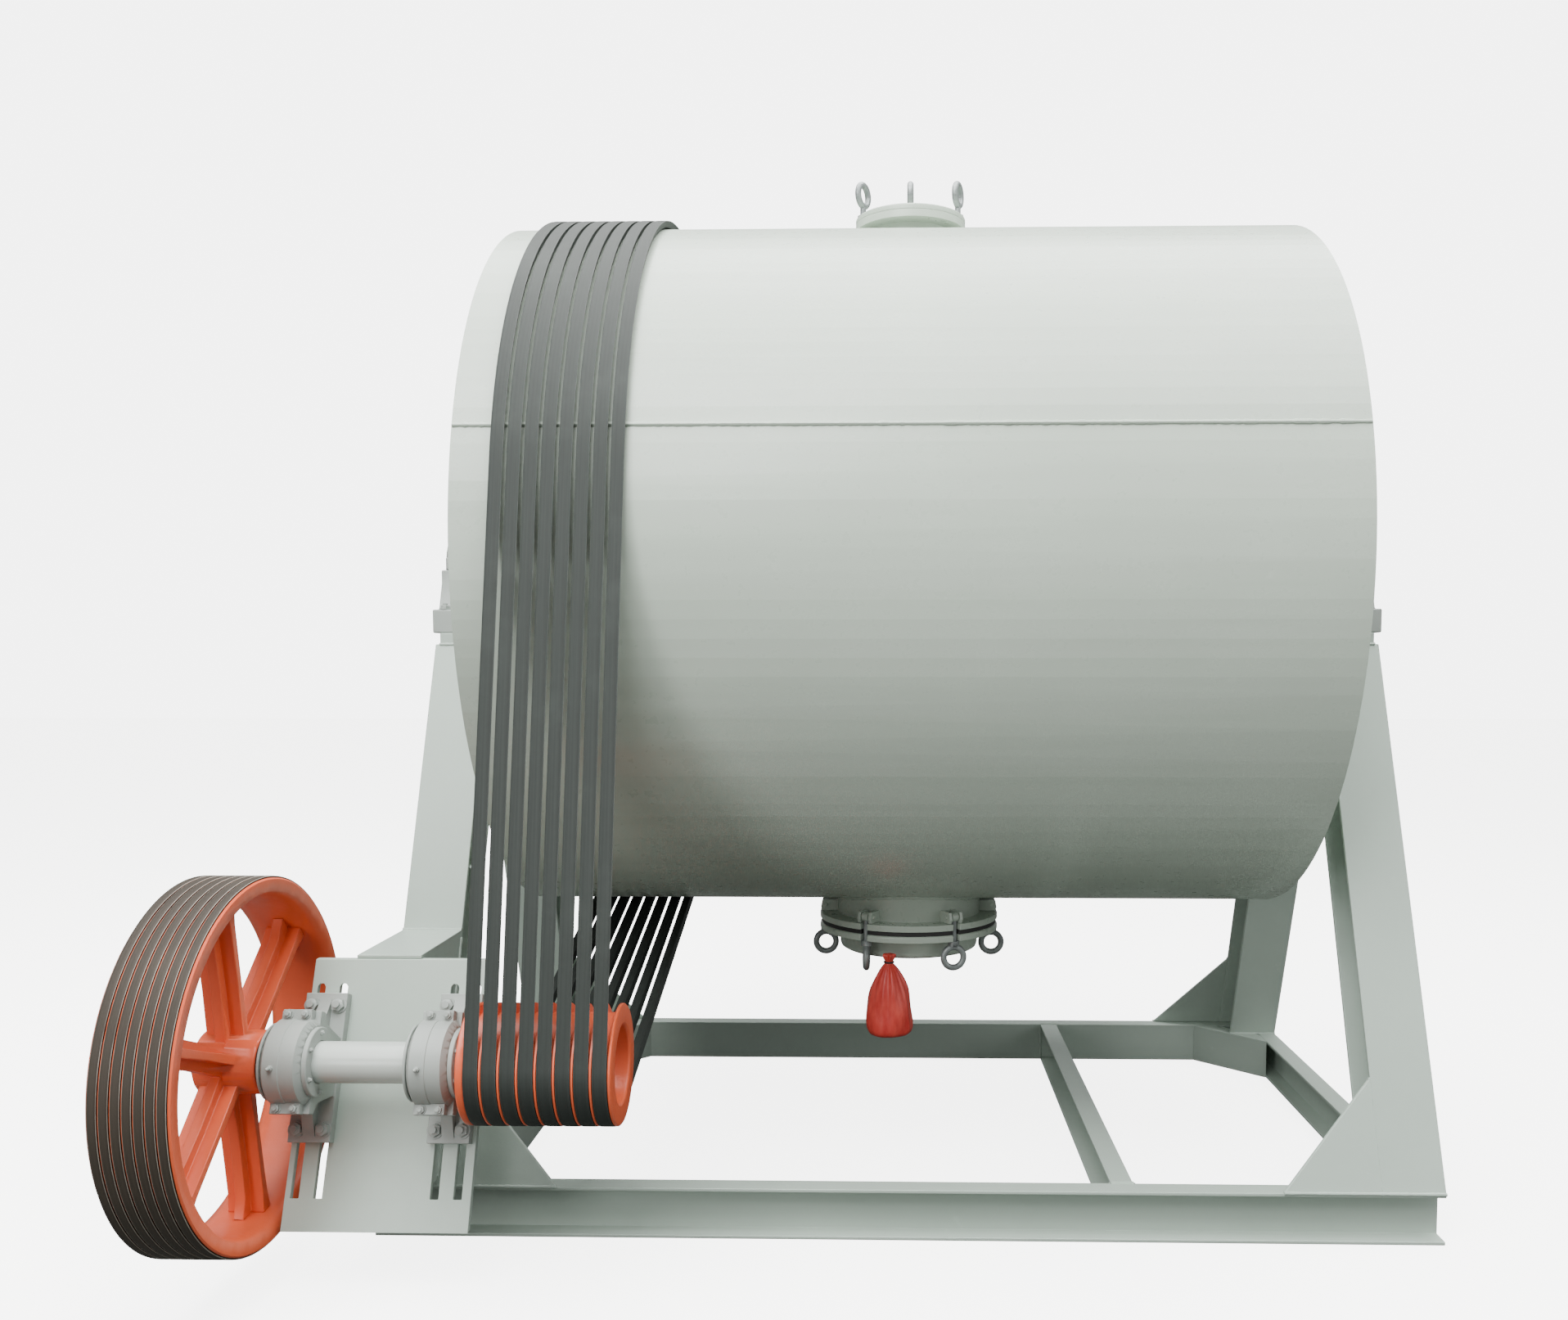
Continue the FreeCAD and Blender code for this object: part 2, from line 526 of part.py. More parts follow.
# ---------------------------------------------------------------- swing bolts with eye nuts
def eye_bolts(word, count, first, ring, eye, clamp, end, way, spins):
    """Bolts on a circle, each a shank, a collar clamping the cover and a ring; way is where the ring hangs and
    spins how far each ring was left turned when it was tightened."""
    bolts = []
    for number in range(count):
        turn = math.radians(first + number * 360 / count)
        x = f"manhole_place + {ring} * {math.cos(turn):.6f}"
        y = f"{ring} * {math.sin(turn):.6f}"
        tag = f"{word}{number}"
        top = f"{eye} - {way} * (eye_radius - 2)"
        low, high = (end, top) if way > 0 else (top, end)
        shank = cylinder(tag + "Shank", "bolt_radius", f"({high}) - ({low})", x=x, y=y, z=low)
        collar = cylinder(tag + "Collar", "collar_radius", "collar_height", x=x, y=y,
                          z=clamp if way > 0 else f"{clamp} - collar_height")
        eye_ring = bind(doc.addObject("Part::Torus", tag + "Ring"), Radius1="eye_radius", Radius2="eye_wire")
        spin = FreeCAD.Rotation(FreeCAD.Vector(0, 0, 1), spins[number])
        upright = FreeCAD.Rotation(FreeCAD.Vector(1, 0, 0), 90)
        eye_ring.Placement = FreeCAD.Placement(FreeCAD.Vector(), spin.multiply(upright))
        bind(eye_ring, Placement__Base__x=x, Placement__Base__y=y, Placement__Base__z=eye)
        bolts.append(fuse(tag, [shank, collar, eye_ring]))
    return group(word, bolts)


def bolt_slots(word, count, first, ring, low, high):
    """Open slots cut inwards from a rim, one for each bolt."""
    slots = []
    for number in range(count):
        angle = first + number * 360 / count
        body = new_body(f"{word}{number}")
        sketch = new_sketch(body, f"{word}{number}Plan", "XY_Plane")
        polygon(sketch, [(f"{ring} - bolt_slot / 2", "-bolt_slot / 2"), (f"{ring} + 60", "-bolt_slot / 2"),
                         (f"{ring} + 60", "bolt_slot / 2"), (f"{ring} - bolt_slot / 2", "bolt_slot / 2")])
        pad(body, f"{word}{number}Block", sketch, f"({high}) - ({low})")
        slots.append(place(body, x="manhole_place", z=low, angle=angle))
    return slots


# ---------------------------------------------------------------- manhole under the drum
GASKET_LOW = "(manhole_flange_low - gasket_thickness)"
RIM_LOW = f"({GASKET_LOW} - cover_rim_thickness)"
neck = turned_upright("ManholeNeck", [
    ("manhole_neck - manhole_wall", "manhole_flange_low"), ("manhole_flange", "manhole_flange_low"),
    ("manhole_flange", "manhole_flange_low + manhole_flange_thickness"),
    ("manhole_neck", "manhole_flange_low + manhole_flange_thickness"),
    ("manhole_neck", "axis_height - drum_radius + 60"),
    ("manhole_neck - manhole_wall", "axis_height - drum_radius + 60")])
place(neck, x="manhole_place")
inside = rod("ManholeInside", "drum_radius - shell_plate", "-manhole_flange * 2", "manhole_flange * 2",
             z="axis_height")
node(cut("ManholeNeckOpen", neck, [inside] + bolt_slots("ManholeSlots", 6, 0, "manhole_bolt_circle",
                                                        "manhole_flange_low - 5",
                                                        "manhole_flange_low + manhole_flange_thickness + 5")),
     "manhole_neck")
gasket = turned_upright("ManholeGasket", [
    ("manhole_neck - manhole_wall", GASKET_LOW), ("manhole_flange - 5", GASKET_LOW),
    ("manhole_flange - 5", "manhole_flange_low"), ("manhole_neck - manhole_wall", "manhole_flange_low")])
place(gasket, x="manhole_place")
node(cut("ManholeGasketSlotted", gasket, bolt_slots("GasketSlots", 6, 0, "manhole_bolt_circle",
                                                    f"{GASKET_LOW} - 5", "manhole_flange_low + 5")), "manhole_gasket")
cover = turned_upright("ManholeCover", [
    ("0", GASKET_LOW), ("manhole_flange - 4", GASKET_LOW), ("manhole_flange", f"{GASKET_LOW} - 4"),
    ("manhole_flange", f"{RIM_LOW}"), ("cover_radius + 7", RIM_LOW), ("cover_radius + 7", "cover_low + 14"),
    ("cover_radius + 4", "cover_low + 5"), ("cover_radius - 5", "cover_low"), ("0", "cover_low")])
place(cover, x="manhole_place")
node(cut("ManholeCoverSlotted", cover, bolt_slots("CoverSlots", 6, 0, "manhole_bolt_circle", f"{RIM_LOW} - 5",
                                                  f"{GASKET_LOW} + 5")), "manhole_cover")
node(eye_bolts("ManholeBolts", 6, 0, "manhole_bolt_circle", "manhole_eye_height", RIM_LOW,
               "manhole_flange_low + manhole_flange_thickness + 12", -1, (0, 37, 74, 5, 86, 16)), "manhole_bolts")

# ---------------------------------------------------------------- charging port on top
PORT_TOP = "(port_flange_low + port_flange_thickness)"
neck = turned_upright("PortNeck", [
    ("port_neck - port_wall", "axis_height + drum_radius - 60"), ("port_neck", "axis_height + drum_radius - 60"),
    ("port_neck", "port_flange_low"), ("port_flange", "port_flange_low"), ("port_flange", PORT_TOP),
    ("port_neck - port_wall", PORT_TOP)])
place(neck, x="manhole_place")
inside = rod("PortInside", "drum_radius - shell_plate", "-port_flange * 2", "port_flange * 2", z="axis_height")
node(cut("PortNeckOpen", neck, [inside] + bolt_slots("PortSlots", 2, 0, "port_bolt_circle",
                                                     "port_flange_low - 5", f"{PORT_TOP} + 5")), "port_neck")
cover = turned_upright("PortCover", [
    ("0", PORT_TOP), ("port_flange", PORT_TOP), ("port_flange", f"{PORT_TOP} + port_cover_thickness - 3"),
    ("port_flange - 3", f"{PORT_TOP} + port_cover_thickness"), ("0", f"{PORT_TOP} + port_cover_thickness")])
place(cover, x="manhole_place")
node(cut("PortCoverSlotted", cover, bolt_slots("PortCoverSlots", 2, 0, "port_bolt_circle", f"{PORT_TOP} - 5",
                                               f"{PORT_TOP} + port_cover_thickness + 5")), "port_cover")
COVER_TOP = f"{PORT_TOP} + port_cover_thickness"
clamps = eye_bolts("PortBolts", 2, 0, "port_bolt_circle", "port_eye_height", COVER_TOP, "port_flange_low - 12", 1,
                   (70, 62))
lifting_eye = eye_bolts("PortLiftingEye", 1, 0, "0", "port_eye_height", COVER_TOP, COVER_TOP, 1, (88,))
node(group("PortBoltsAndEye", [clamps, lifting_eye]), "port_bolts")

# ---------------------------------------------------------------- bag tied below the manhole
bag = turned_upright("Bag", [
    ("0", "bag_low"), ("bag_radius * 0.8", "bag_low + 2"), ("bag_radius", "bag_low + 22"),
    ("bag_radius * 0.98", "bag_low + 90"), ("bag_radius * 0.70", "bag_low + 145"),
    ("bag_radius * 0.32", "bag_top - 38"), ("bag_radius * 0.18", "bag_top - 22"),
    ("bag_radius * 0.26", "bag_top"), ("0", "bag_top")])
node(place(bag, x="-bag_place", y="-bag_front"), "parts_bag")


# ---------------------------------------------------------------- belts round the drum and the small pulley
def direction(way):
    """Angle of the line from the drum's axis to a belt's tangent point, in degrees from +Y upwards."""
    reach = size("jack_reach")
    fall = size("axis_height - jack_height")
    spread = size("drum_radius + belt_lift - small_belt_inner")
    return 180 + math.degrees(math.atan2(fall, reach)) + way * math.degrees(
        math.acos(spread / math.hypot(reach, fall)))


def belt_loop(number):
    """One endless V-belt: its flat base lies just off the drum and just off the pulley's grooves."""
    base_radius = size("drum_radius + belt_lift")
    small_radius = size("small_belt_inner")
    drum_at = FreeCAD.Vector(0, size("axis_height"), 0)
    jack_at = FreeCAD.Vector(-size("jack_reach"), size("jack_height"), 0)
    upper = math.radians(direction(-1))
    lower = math.radians(direction(1))

    def spot(centre, radius, angle):
        return centre + FreeCAD.Vector(math.cos(angle), math.sin(angle), 0) * radius

    body = new_body(f"Belt{number}")
    path = new_sketch(body, f"Belt{number}Path", "YZ_Plane")
    normal = FreeCAD.Vector(0, 0, 1)
    path.addGeometry(Part.ArcOfCircle(Part.Circle(drum_at, normal, base_radius), 0, upper), False)
    path.addGeometry(Part.LineSegment(spot(drum_at, base_radius, upper), spot(jack_at, small_radius, upper)), False)
    path.addGeometry(Part.ArcOfCircle(Part.Circle(jack_at, normal, small_radius), upper, lower), False)
    path.addGeometry(Part.LineSegment(spot(jack_at, small_radius, lower), spot(drum_at, base_radius, lower)), False)
    path.addGeometry(Part.ArcOfCircle(Part.Circle(drum_at, normal, base_radius), lower, 2 * math.pi), False)
    for near, near_end, far, far_end in ((0, 2, 1, 1), (1, 2, 2, 1), (2, 2, 3, 1), (3, 2, 4, 1)):
        path.addConstraint(Sketcher.Constraint("Tangent", near, near_end, far, far_end))
    path.addConstraint(Sketcher.Constraint("Coincident", 4, 2, 0, 1))
    path.addConstraint(Sketcher.Constraint("Coincident", 4, 3, 0, 3))
    for arc, radius in ((0, "drum_radius + belt_lift"), (2, "small_belt_inner")):
        index = path.addConstraint(Sketcher.Constraint("Radius", arc, size(radius)))
        path.setExpression(f"Constraints[{index}]", sized(radius))
    pin(path, 0, 3, "0", "axis_height")
    pin(path, 2, 3, "-jack_reach", "jack_height")
    index = path.addConstraint(Sketcher.Constraint("DistanceY", -1, 1, 0, 1, drum_at.y))
    path.setExpression(f"Constraints[{index}]", sized("axis_height"))

    section = new_sketch(body, f"Belt{number}Section", "XY_Plane")
    section.AttachmentOffset = FreeCAD.Placement(FreeCAD.Vector(0, 0, drum_at.y), FreeCAD.Rotation())
    bind(section, AttachmentOffset__Base__z="axis_height")
    inner = "drum_radius + belt_lift"
    polygon(section, [("-belt_base_width / 2", inner), ("belt_base_width / 2", inner),
                      ("belt_top_width / 2", f"{inner} + belt_thickness"),
                      ("-belt_top_width / 2", f"{inner} + belt_thickness")])
    pipe = body.newObject("PartDesign::AdditivePipe", f"Belt{number}Sweep")
    pipe.Profile = section
    pipe.Spine = path
    pipe.Mode = "Standard"
    return place(body, x=f"-belt_middle + {number - (size('belt_count') - 1) / 2} * belt_pitch")


node(group("DriveBelts", [belt_loop(number) for number in range(int(size("belt_count")))]), "drive_belts")


# ---------------------------------------------------------------- jackshaft and pulleys
def grooved(left, right, count, pitch, middle, radius, floor, top, base):
    """Outline of a grooved rim from its left edge to its right edge."""
    corners = [(left, f"{radius} - 3"), (f"{left} + 3", radius)]
    for number in range(count):
        centre = f"{middle} + {number - (count - 1) / 2} * {pitch}"
        corners += [(f"{centre} - {top} / 2", radius), (f"{centre} - {base} / 2", floor),
                    (f"{centre} + {base} / 2", floor), (f"{centre} + {top} / 2", radius)]
    return corners + [(f"{right} - 3", radius), (right, f"{radius} - 3")]


SHAFT_HOLE = "jack_radius + running_gap"
shaft = turned("Jackshaft", [("-big_hub_start - 14", "0"), ("-big_hub_start - 14", "jack_radius - 3"),
                          ("-big_hub_start - 11", "jack_radius"), ("-small_right - 43", "jack_radius"),
                          ("-small_right - 40", "jack_radius - 3"), ("-small_right - 40", "0")])
node(shaft, "jackshaft")
small = turned("SmallPulley", [("-small_left", SHAFT_HOLE)] + grooved(
    "-small_left", "-small_right", int(size("belt_count")), "belt_pitch", "-belt_middle", "small_radius",
    "small_floor", "small_groove_top", "small_groove_base") + [
    ("-small_right", "small_recess + 6"), ("-small_right - 6", "small_recess"),
    ("-small_right - small_recess_depth", "small_recess"), ("-small_right - small_recess_depth", SHAFT_HOLE)])
node(small, "small_pulley")

MIDDLE = "(big_face + big_width / 2)"
spider = new_body("BigSpider")
sketch = new_sketch(spider, "BigHubProfile", "XY_Plane")
polygon(sketch, [(f"{MIDDLE} - big_hub_start", "0"), (f"{MIDDLE} - big_face", "0"),
                 (f"{MIDDLE} - big_face", "big_hub_radius - 4"), (f"{MIDDLE} - big_face - 4", "big_hub_radius"),
                 (f"{MIDDLE} - big_hub_start + 4", "big_hub_radius"),
                 (f"{MIDDLE} - big_hub_start", "big_hub_radius - 4")])
revolve(spider, "BigHub", sketch, "H_Axis")
# each spoke is a cross: a flat web widening at both ends, and a rib along the shaft's direction
for name, width, thickness in (("BigSpoke", "spoke_width", "spoke_thickness"),
                               ("BigSpokeRib", "spoke_rib_thickness", "spoke_rib")):
    sketch = new_sketch(spider, name + "Shape", "YZ_Plane")
    right = [(f"{width} * 0.5", "30"), (f"{width} * 0.38", "big_rim_inner * 0.5"),
             (f"{width} * 0.44", "big_rim_inner - 46"), (f"{width} * 0.7", "big_rim_inner - 6"),
             (f"{width} * 0.7", "big_rim_inner + 4")]
    polygon(sketch, right + [("-" + x, y) for x, y in right[::-1]])
    spoke = pad(spider, name, sketch, thickness, middle=True)
    ring = spider.newObject("PartDesign::PolarPattern", name + "Ring")
    ring.Originals = [spoke]
    ring.Axis = (origin_item(spider, "X_Axis"), [""])
    ring.Angle = 360
    bind(ring, Occurrences="spoke_count")
    spider.Tip = ring
sketch = new_sketch(spider, "BigBoreShape", "YZ_Plane")
circle(sketch, "0", "0", SHAFT_HOLE)
pocket(spider, "BigBore", sketch)
# the spokes end on the round inside of the rim
sketch = new_sketch(spider, "BigSpokeEnds", "XY_Plane")
polygon(sketch, [("-big_width / 2", "big_rim_inner"), ("big_width / 2", "big_rim_inner"),
                 ("big_width / 2", "big_rim_inner + 20"), ("-big_width / 2", "big_rim_inner + 20")])
revolve(spider, "BigSpokeTrim", sketch, "H_Axis", kind="Groove")
place(spider, x=f"-{MIDDLE}", y="-jack_reach", z="jack_height", axis=(1, 0, 0), angle=size("spoke_phase"))
node(spider, "big_pulley_spokes")
edge = "big_width / 2"
rim = turned("BigRim", [(f"-{edge}", "big_rim_inner + 10")] + grooved(
    f"-{edge}", edge, int(size("motor_belt_count")), "motor_belt_pitch", "0", "big_radius",
    "big_radius - motor_belt_thickness + motor_belt_proud - 1", "(motor_belt_top + 0.6)",
    "(motor_belt_base + 0.6)") + [(edge, "big_rim_inner + 10"), ("44", "big_rim_inner"), ("-44", "big_rim_inner")])
place(rim, x=f"-{MIDDLE}", y="-jack_reach", z="jack_height")
node(rim, "big_pulley_rim")

rings = []
for number in range(int(size("motor_belt_count"))):
    centre = f"-{MIDDLE} + {number - (size('motor_belt_count') - 1) / 2} * motor_belt_pitch"
    outer = "big_radius + motor_belt_proud"
    rings.append(turned(f"MotorBelt{number}", [
        (f"{centre} - motor_belt_base / 2", f"{outer} - motor_belt_thickness"),
        (f"{centre} + motor_belt_base / 2", f"{outer} - motor_belt_thickness"),
        (f"{centre} + motor_belt_top / 2", outer), (f"{centre} - motor_belt_top / 2", outer)]))
node(group("MotorBelts", rings), "motor_belts")
seal = turned("SealRing", [("-big_face", SHAFT_HOLE), ("-big_face + seal_length", SHAFT_HOLE),
                         ("-big_face + seal_length", "seal_radius - 4"), ("-big_face + seal_length - 4", "seal_radius"),
                         ("-big_face", "seal_radius")])
node(seal, "seal_ring")
for item in rings + [shaft, small, seal]:
    place(item, y="-jack_reach", z="jack_height")

# ---------------------------------------------------------------- write every sub-part
# The drawing is laid out from the middle of the drum; the files are written from the middle of the whole
# machine's footprint, which lies to the left and the front of that.
doc.recompute()
for item in doc.Objects:
    if "Invalid" in item.State or "Error" in item.State:
        raise RuntimeError(f"{item.Name}: {item.State}")
os.makedirs("parts", exist_ok=True)
for item in nodes:
    if item.Shape.isNull() or not item.Shape.isValid() or not item.Shape.Solids:
        raise RuntimeError(f"{item.Label} has no valid solid")
    placed = item.Shape.translated(FreeCAD.Vector(size("origin_left"), size("origin_front"), 0))
    placed.exportStep(f"parts/{item.Label}.step")
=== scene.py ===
"""Batch ball mill: a painted steel drum on trunnion bearings over a welded frame, driven by V-belts."""
import json
import math

import bmesh
import bpy
from mathutils import Matrix, Vector


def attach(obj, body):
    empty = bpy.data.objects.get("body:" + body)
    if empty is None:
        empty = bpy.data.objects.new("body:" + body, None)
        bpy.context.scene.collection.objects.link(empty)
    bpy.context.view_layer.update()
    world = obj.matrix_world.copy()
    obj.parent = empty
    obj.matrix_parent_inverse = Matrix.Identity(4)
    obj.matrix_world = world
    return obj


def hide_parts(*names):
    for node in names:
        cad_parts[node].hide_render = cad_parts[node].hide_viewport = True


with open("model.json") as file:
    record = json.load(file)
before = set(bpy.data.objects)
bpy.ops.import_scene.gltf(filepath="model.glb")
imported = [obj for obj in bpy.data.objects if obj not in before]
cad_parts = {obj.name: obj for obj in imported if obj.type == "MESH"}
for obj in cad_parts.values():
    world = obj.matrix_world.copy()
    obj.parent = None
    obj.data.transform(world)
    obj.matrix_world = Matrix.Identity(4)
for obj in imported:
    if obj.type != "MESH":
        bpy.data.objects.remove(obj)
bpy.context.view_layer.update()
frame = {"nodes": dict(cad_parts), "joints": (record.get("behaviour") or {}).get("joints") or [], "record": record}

# ---- Camera
# It stands in front of the machine, a little below the drum's axis, and looks along it with a slight fall.
camera = bpy.data.objects.new("camera", bpy.data.cameras.new("camera"))
bpy.context.scene.collection.objects.link(camera)
bpy.context.scene.camera = camera
camera.location = (0.0665, -3.479, 1.327)
camera.rotation_euler = (math.pi / 2 - 0.0632, 0.0, 0.0222)
camera.data.lens = 30.40
camera.data.sensor_width = 36.0
camera.data.shift_x = -0.0438
camera.data.shift_y = 0.0572


# ---- Floor and studio light
# A wide pale floor runs into a pale surround. A broad soft box hangs overhead and one stands high at the
# front left; two weak ones stand low, at the right and by the big wheel. The camera sees floor and surround
# near white, while they throw little light on the machine, so that its undersides stay in shade.
class Wire:
    """A socket of a material's nodes; arithmetic on it adds Math nodes."""

    def __init__(self, finish, socket):
        self.finish = finish
        self.socket = socket

    def reckon(self, operation, first, second):
        return self.finish.node("Math", {"operation": operation}, {0: first, 1: second})

    def __add__(self, other):
        return self.reckon("ADD", self, other)

    def __sub__(self, other):
        return self.reckon("SUBTRACT", self, other)

    def __rsub__(self, other):
        return self.reckon("SUBTRACT", other, self)

    def __mul__(self, other):
        return self.reckon("MULTIPLY", self, other)

    __radd__ = __add__
    __rmul__ = __mul__


class Finish:
    """A surface finish: one material and the nodes that make it."""

    def __init__(self, name):
        self.material = bpy.data.materials.new(name)
        self.material.use_nodes = True
        self.tree = self.material.node_tree
        self.tree.nodes.clear()
        self.spot = self.node("TexCoord", output="Object")

    def node(self, kind, settings=None, sockets=None, output=0):
        """Any node, by its type, its settings, and the values or links of its sockets."""
        made = self.tree.nodes.new("ShaderNode" + kind)
        for key, value in (settings or {}).items():
            if key != "stops":
                setattr(made, key, value)
                continue
            for index, (position, grey) in enumerate(value):
                stops = made.color_ramp.elements
                stop = stops[index] if index < 2 else stops.new(position)
                stop.position = position
                stop.color = (grey, grey, grey, 1.0)
        for key, value in (sockets or {}).items():
            if isinstance(value, Wire):
                self.tree.links.new(value.socket, made.inputs[key])
            else:
                made.inputs[key].default_value = value
        return Wire(self, made.outputs[output])

    def noise(self, scale, detail=3.0, rough=0.5, stretch=None):
        """Even noise from 0 to 1, stretched by factors along X, Y and Z if they are given."""
        spot = self.spot
        if stretch:
            spot = self.node("Mapping", {}, {"Vector": spot, "Scale": stretch})
        return self.node("TexNoise", {}, {"Vector": spot, "Scale": scale, "Detail": detail,
                                          "Roughness": rough})

    def above(self, wire, low, high):
        """A mask that rises from 0 to 1 as the wire passes from low to high."""
        return self.node("ValToRGB", {"stops": ((low, 0.0), (high, 1.0))}, {"Fac": wire})

    def colours(self, factor, first, second):
        return self.node("Mix", {"data_type": "RGBA"}, {0: factor, 6: first, 7: second}, output=2)

    def surface(self, colour, roughness, height=None, bump=0.1, distance=0.001, **constants):
        """The shader itself; height feeds a bump of the given depth in metres."""
        sockets = {"Base Color": colour, "Roughness": roughness}
        if height is not None:
            sockets["Normal"] = self.node("Bump", {}, {"Height": height, "Strength": bump,
                                                       "Distance": distance})
        sockets.update({key.replace("_", " "): value for key, value in constants.items()})
        return self.ends_in(self.node("BsdfPrincipled", {}, sockets))

    def ends_in(self, shader):
        self.tree.links.new(shader.socket, self.tree.nodes.new("ShaderNodeOutputMaterial").inputs["Surface"])
        return self.material


def flat_sheet(name, corners, material):
    mesh = bpy.data.meshes.new(name)
    mesh.from_pydata(corners, [], [tuple(range(len(corners)))])
    mesh.materials.append(material)
    item = bpy.data.objects.new(name, mesh)
    bpy.context.scene.collection.objects.link(item)
    return item


pale = Finish("pale_floor")
bounce = pale.node("BsdfDiffuse", {}, {"Color": (0.72, 0.725, 0.71, 1.0)})
glow = pale.node("Emission", {}, {"Color": (1.0, 1.0, 0.99, 1.0), "Strength": 5.0})
lit = pale.node("AddShader", {}, {0: bounce, 1: glow})
unlit = pale.node("BsdfDiffuse", {}, {"Color": (0.09, 0.095, 0.09, 1.0)})
seen = pale.node("LightPath", {}, {}, output=0)
floor_finish = pale.ends_in(pale.node("MixShader", {}, {0: seen, 1: unlit, 2: lit}))
FLOOR_REACH = 30.0
floor = flat_sheet("floor", [(-FLOOR_REACH, -FLOOR_REACH, 0.0), (FLOOR_REACH, -FLOOR_REACH, 0.0),
                             (FLOOR_REACH, FLOOR_REACH, 0.0), (-FLOOR_REACH, FLOOR_REACH, 0.0)],
                   floor_finish)

world = bpy.data.worlds.new("studio")
bpy.context.scene.world = world
world.use_nodes = True
sky = world.node_tree
around, behind = sky.nodes["Background"], sky.nodes.new("ShaderNodeBackground")
around.inputs["Color"].default_value = (0.97, 0.98, 1.0, 1.0)
around.inputs["Strength"].default_value = 0.50
behind.inputs["Strength"].default_value = 7.0
choice = sky.nodes.new("ShaderNodeMixShader")
sky.links.new(sky.nodes.new("ShaderNodeLightPath").outputs["Is Camera Ray"], choice.inputs[0])
sky.links.new(around.outputs[0], choice.inputs[1])
sky.links.new(behind.outputs[0], choice.inputs[2])
sky.links.new(choice.outputs[0], sky.nodes["World Output"].inputs["Surface"])
for name, spot, aim, power, width in (("top", (0.12, -0.55, 6.2), (0.12, -0.05, 0.0), 1300.0, 7.0),
                                      ("key", (-1.48, -3.95, 4.8), (0.12, 0.25, 1.5), 260.0, 3.0),
                                      ("side", (5.62, -2.75, 2.4), (0.42, 0.25, 1.2), 60.0, 2.6),
                                      ("front", (-3.28, -5.15, 1.5), (-1.08, -0.75, 0.5), 70.0, 1.6)):
    lamp = bpy.data.objects.new(name, bpy.data.lights.new(name, "AREA"))
    bpy.context.scene.collection.objects.link(lamp)
    lamp.data.energy = power
    lamp.data.size = width
    lamp.location = spot
    lamp.rotation_euler = (Vector(aim) - Vector(spot)).to_track_quat("-Z", "Y").to_euler()


# ---- Base frame, legs and gussets
# Rolled channels and H-sections, cut and welded, then sprayed with pale grey-green enamel. The enamel has a
# faint orange peel, thin patches and small scuffs.
def enamel(name, colour, shade, gloss=0.36, peel=0.25, streaks=0.0, cast=0.0):
    """Sprayed enamel in a colour and a darker shade of it.

    peel is the depth of its orange peel, streaks the strength of its drag lines, and cast the depth of the
    sand-cast skin under it.
    """
    paint = Finish(name)
    broad = paint.noise(1.3, 4.0, 0.55)
    fine = paint.noise(38.0, 4.0, 0.6)
    scuff = paint.above(paint.noise(14.0, 7.0, 0.68), 0.655, 0.70)
    tone = paint.colours(paint.above(broad, 0.35, 0.72) * 0.65, colour + (1.0,), shade + (1.0,))
    tone = paint.colours(fine * 0.16, tone, tuple(0.82 * part for part in shade) + (1.0,))
    worn = tuple(min(1.0, 1.16 * part + 0.02) for part in colour)
    tone = paint.colours(scuff * 0.22, tone, worn + (1.0,))
    height = paint.noise(260.0, 2.0) * peel
    if streaks:
        drawn = paint.noise(26.0, 5.0, 0.6, stretch=(0.06, 1.0, 1.0))
        tone = paint.colours(paint.above(drawn, 0.50, 0.72) * streaks, tone, shade + (1.0,))
        height = height + drawn * 0.2
    if cast:
        height = height + paint.noise(75.0, 5.0, 0.62) * cast
    rough = fine * 0.14 + broad * 0.08 + (gloss - 0.10)
    return paint.surface(tone, rough, height, bump=0.22, distance=0.0015)


frame_paint = enamel("frame_enamel", (0.45, 0.53, 0.465), (0.375, 0.45, 0.39), gloss=0.38)

# every hand-made mesh is laid out from the ground under the drum's middle, then moved to the frame's origin
pivots = {joint["name"]: joint["pos_m"] for joint in frame["joints"]}
drum_x, drum_y, AXIS_HEIGHT = pivots["drum_spin"]
DRUM_MIDDLE = Vector((drum_x, drum_y, 0.0))
JACK = Vector(pivots["jackshaft_spin"]) - DRUM_MIDDLE


def show(name, mesh, material, body, laid_out=True):
    """Put a mesh in the scene, riding on a body; laid_out says that it still has to move to the origin."""
    if laid_out:
        mesh.transform(Matrix.Translation(DRUM_MIDDLE))
    mesh.materials.clear()
    mesh.materials.append(material)
    item = bpy.data.objects.new(name, mesh)
    bpy.context.scene.collection.objects.link(item)
    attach(item, body)
    return item


def smooth(mesh, angle=32.0):
    """Round shading everywhere but at edges sharper than the angle."""
    mesh.polygons.foreach_set("use_smooth", [True] * len(mesh.polygons))
    mesh.set_sharp_from_angle(angle=math.radians(angle))


def body_of_node(node):
    return next(body for body, members in frame["record"]["behaviour"]["bodies"].items() if node in members)


SAME_POINT = 2e-5
STILL_FLAT = math.radians(0.6)
SHARP = math.radians(40)


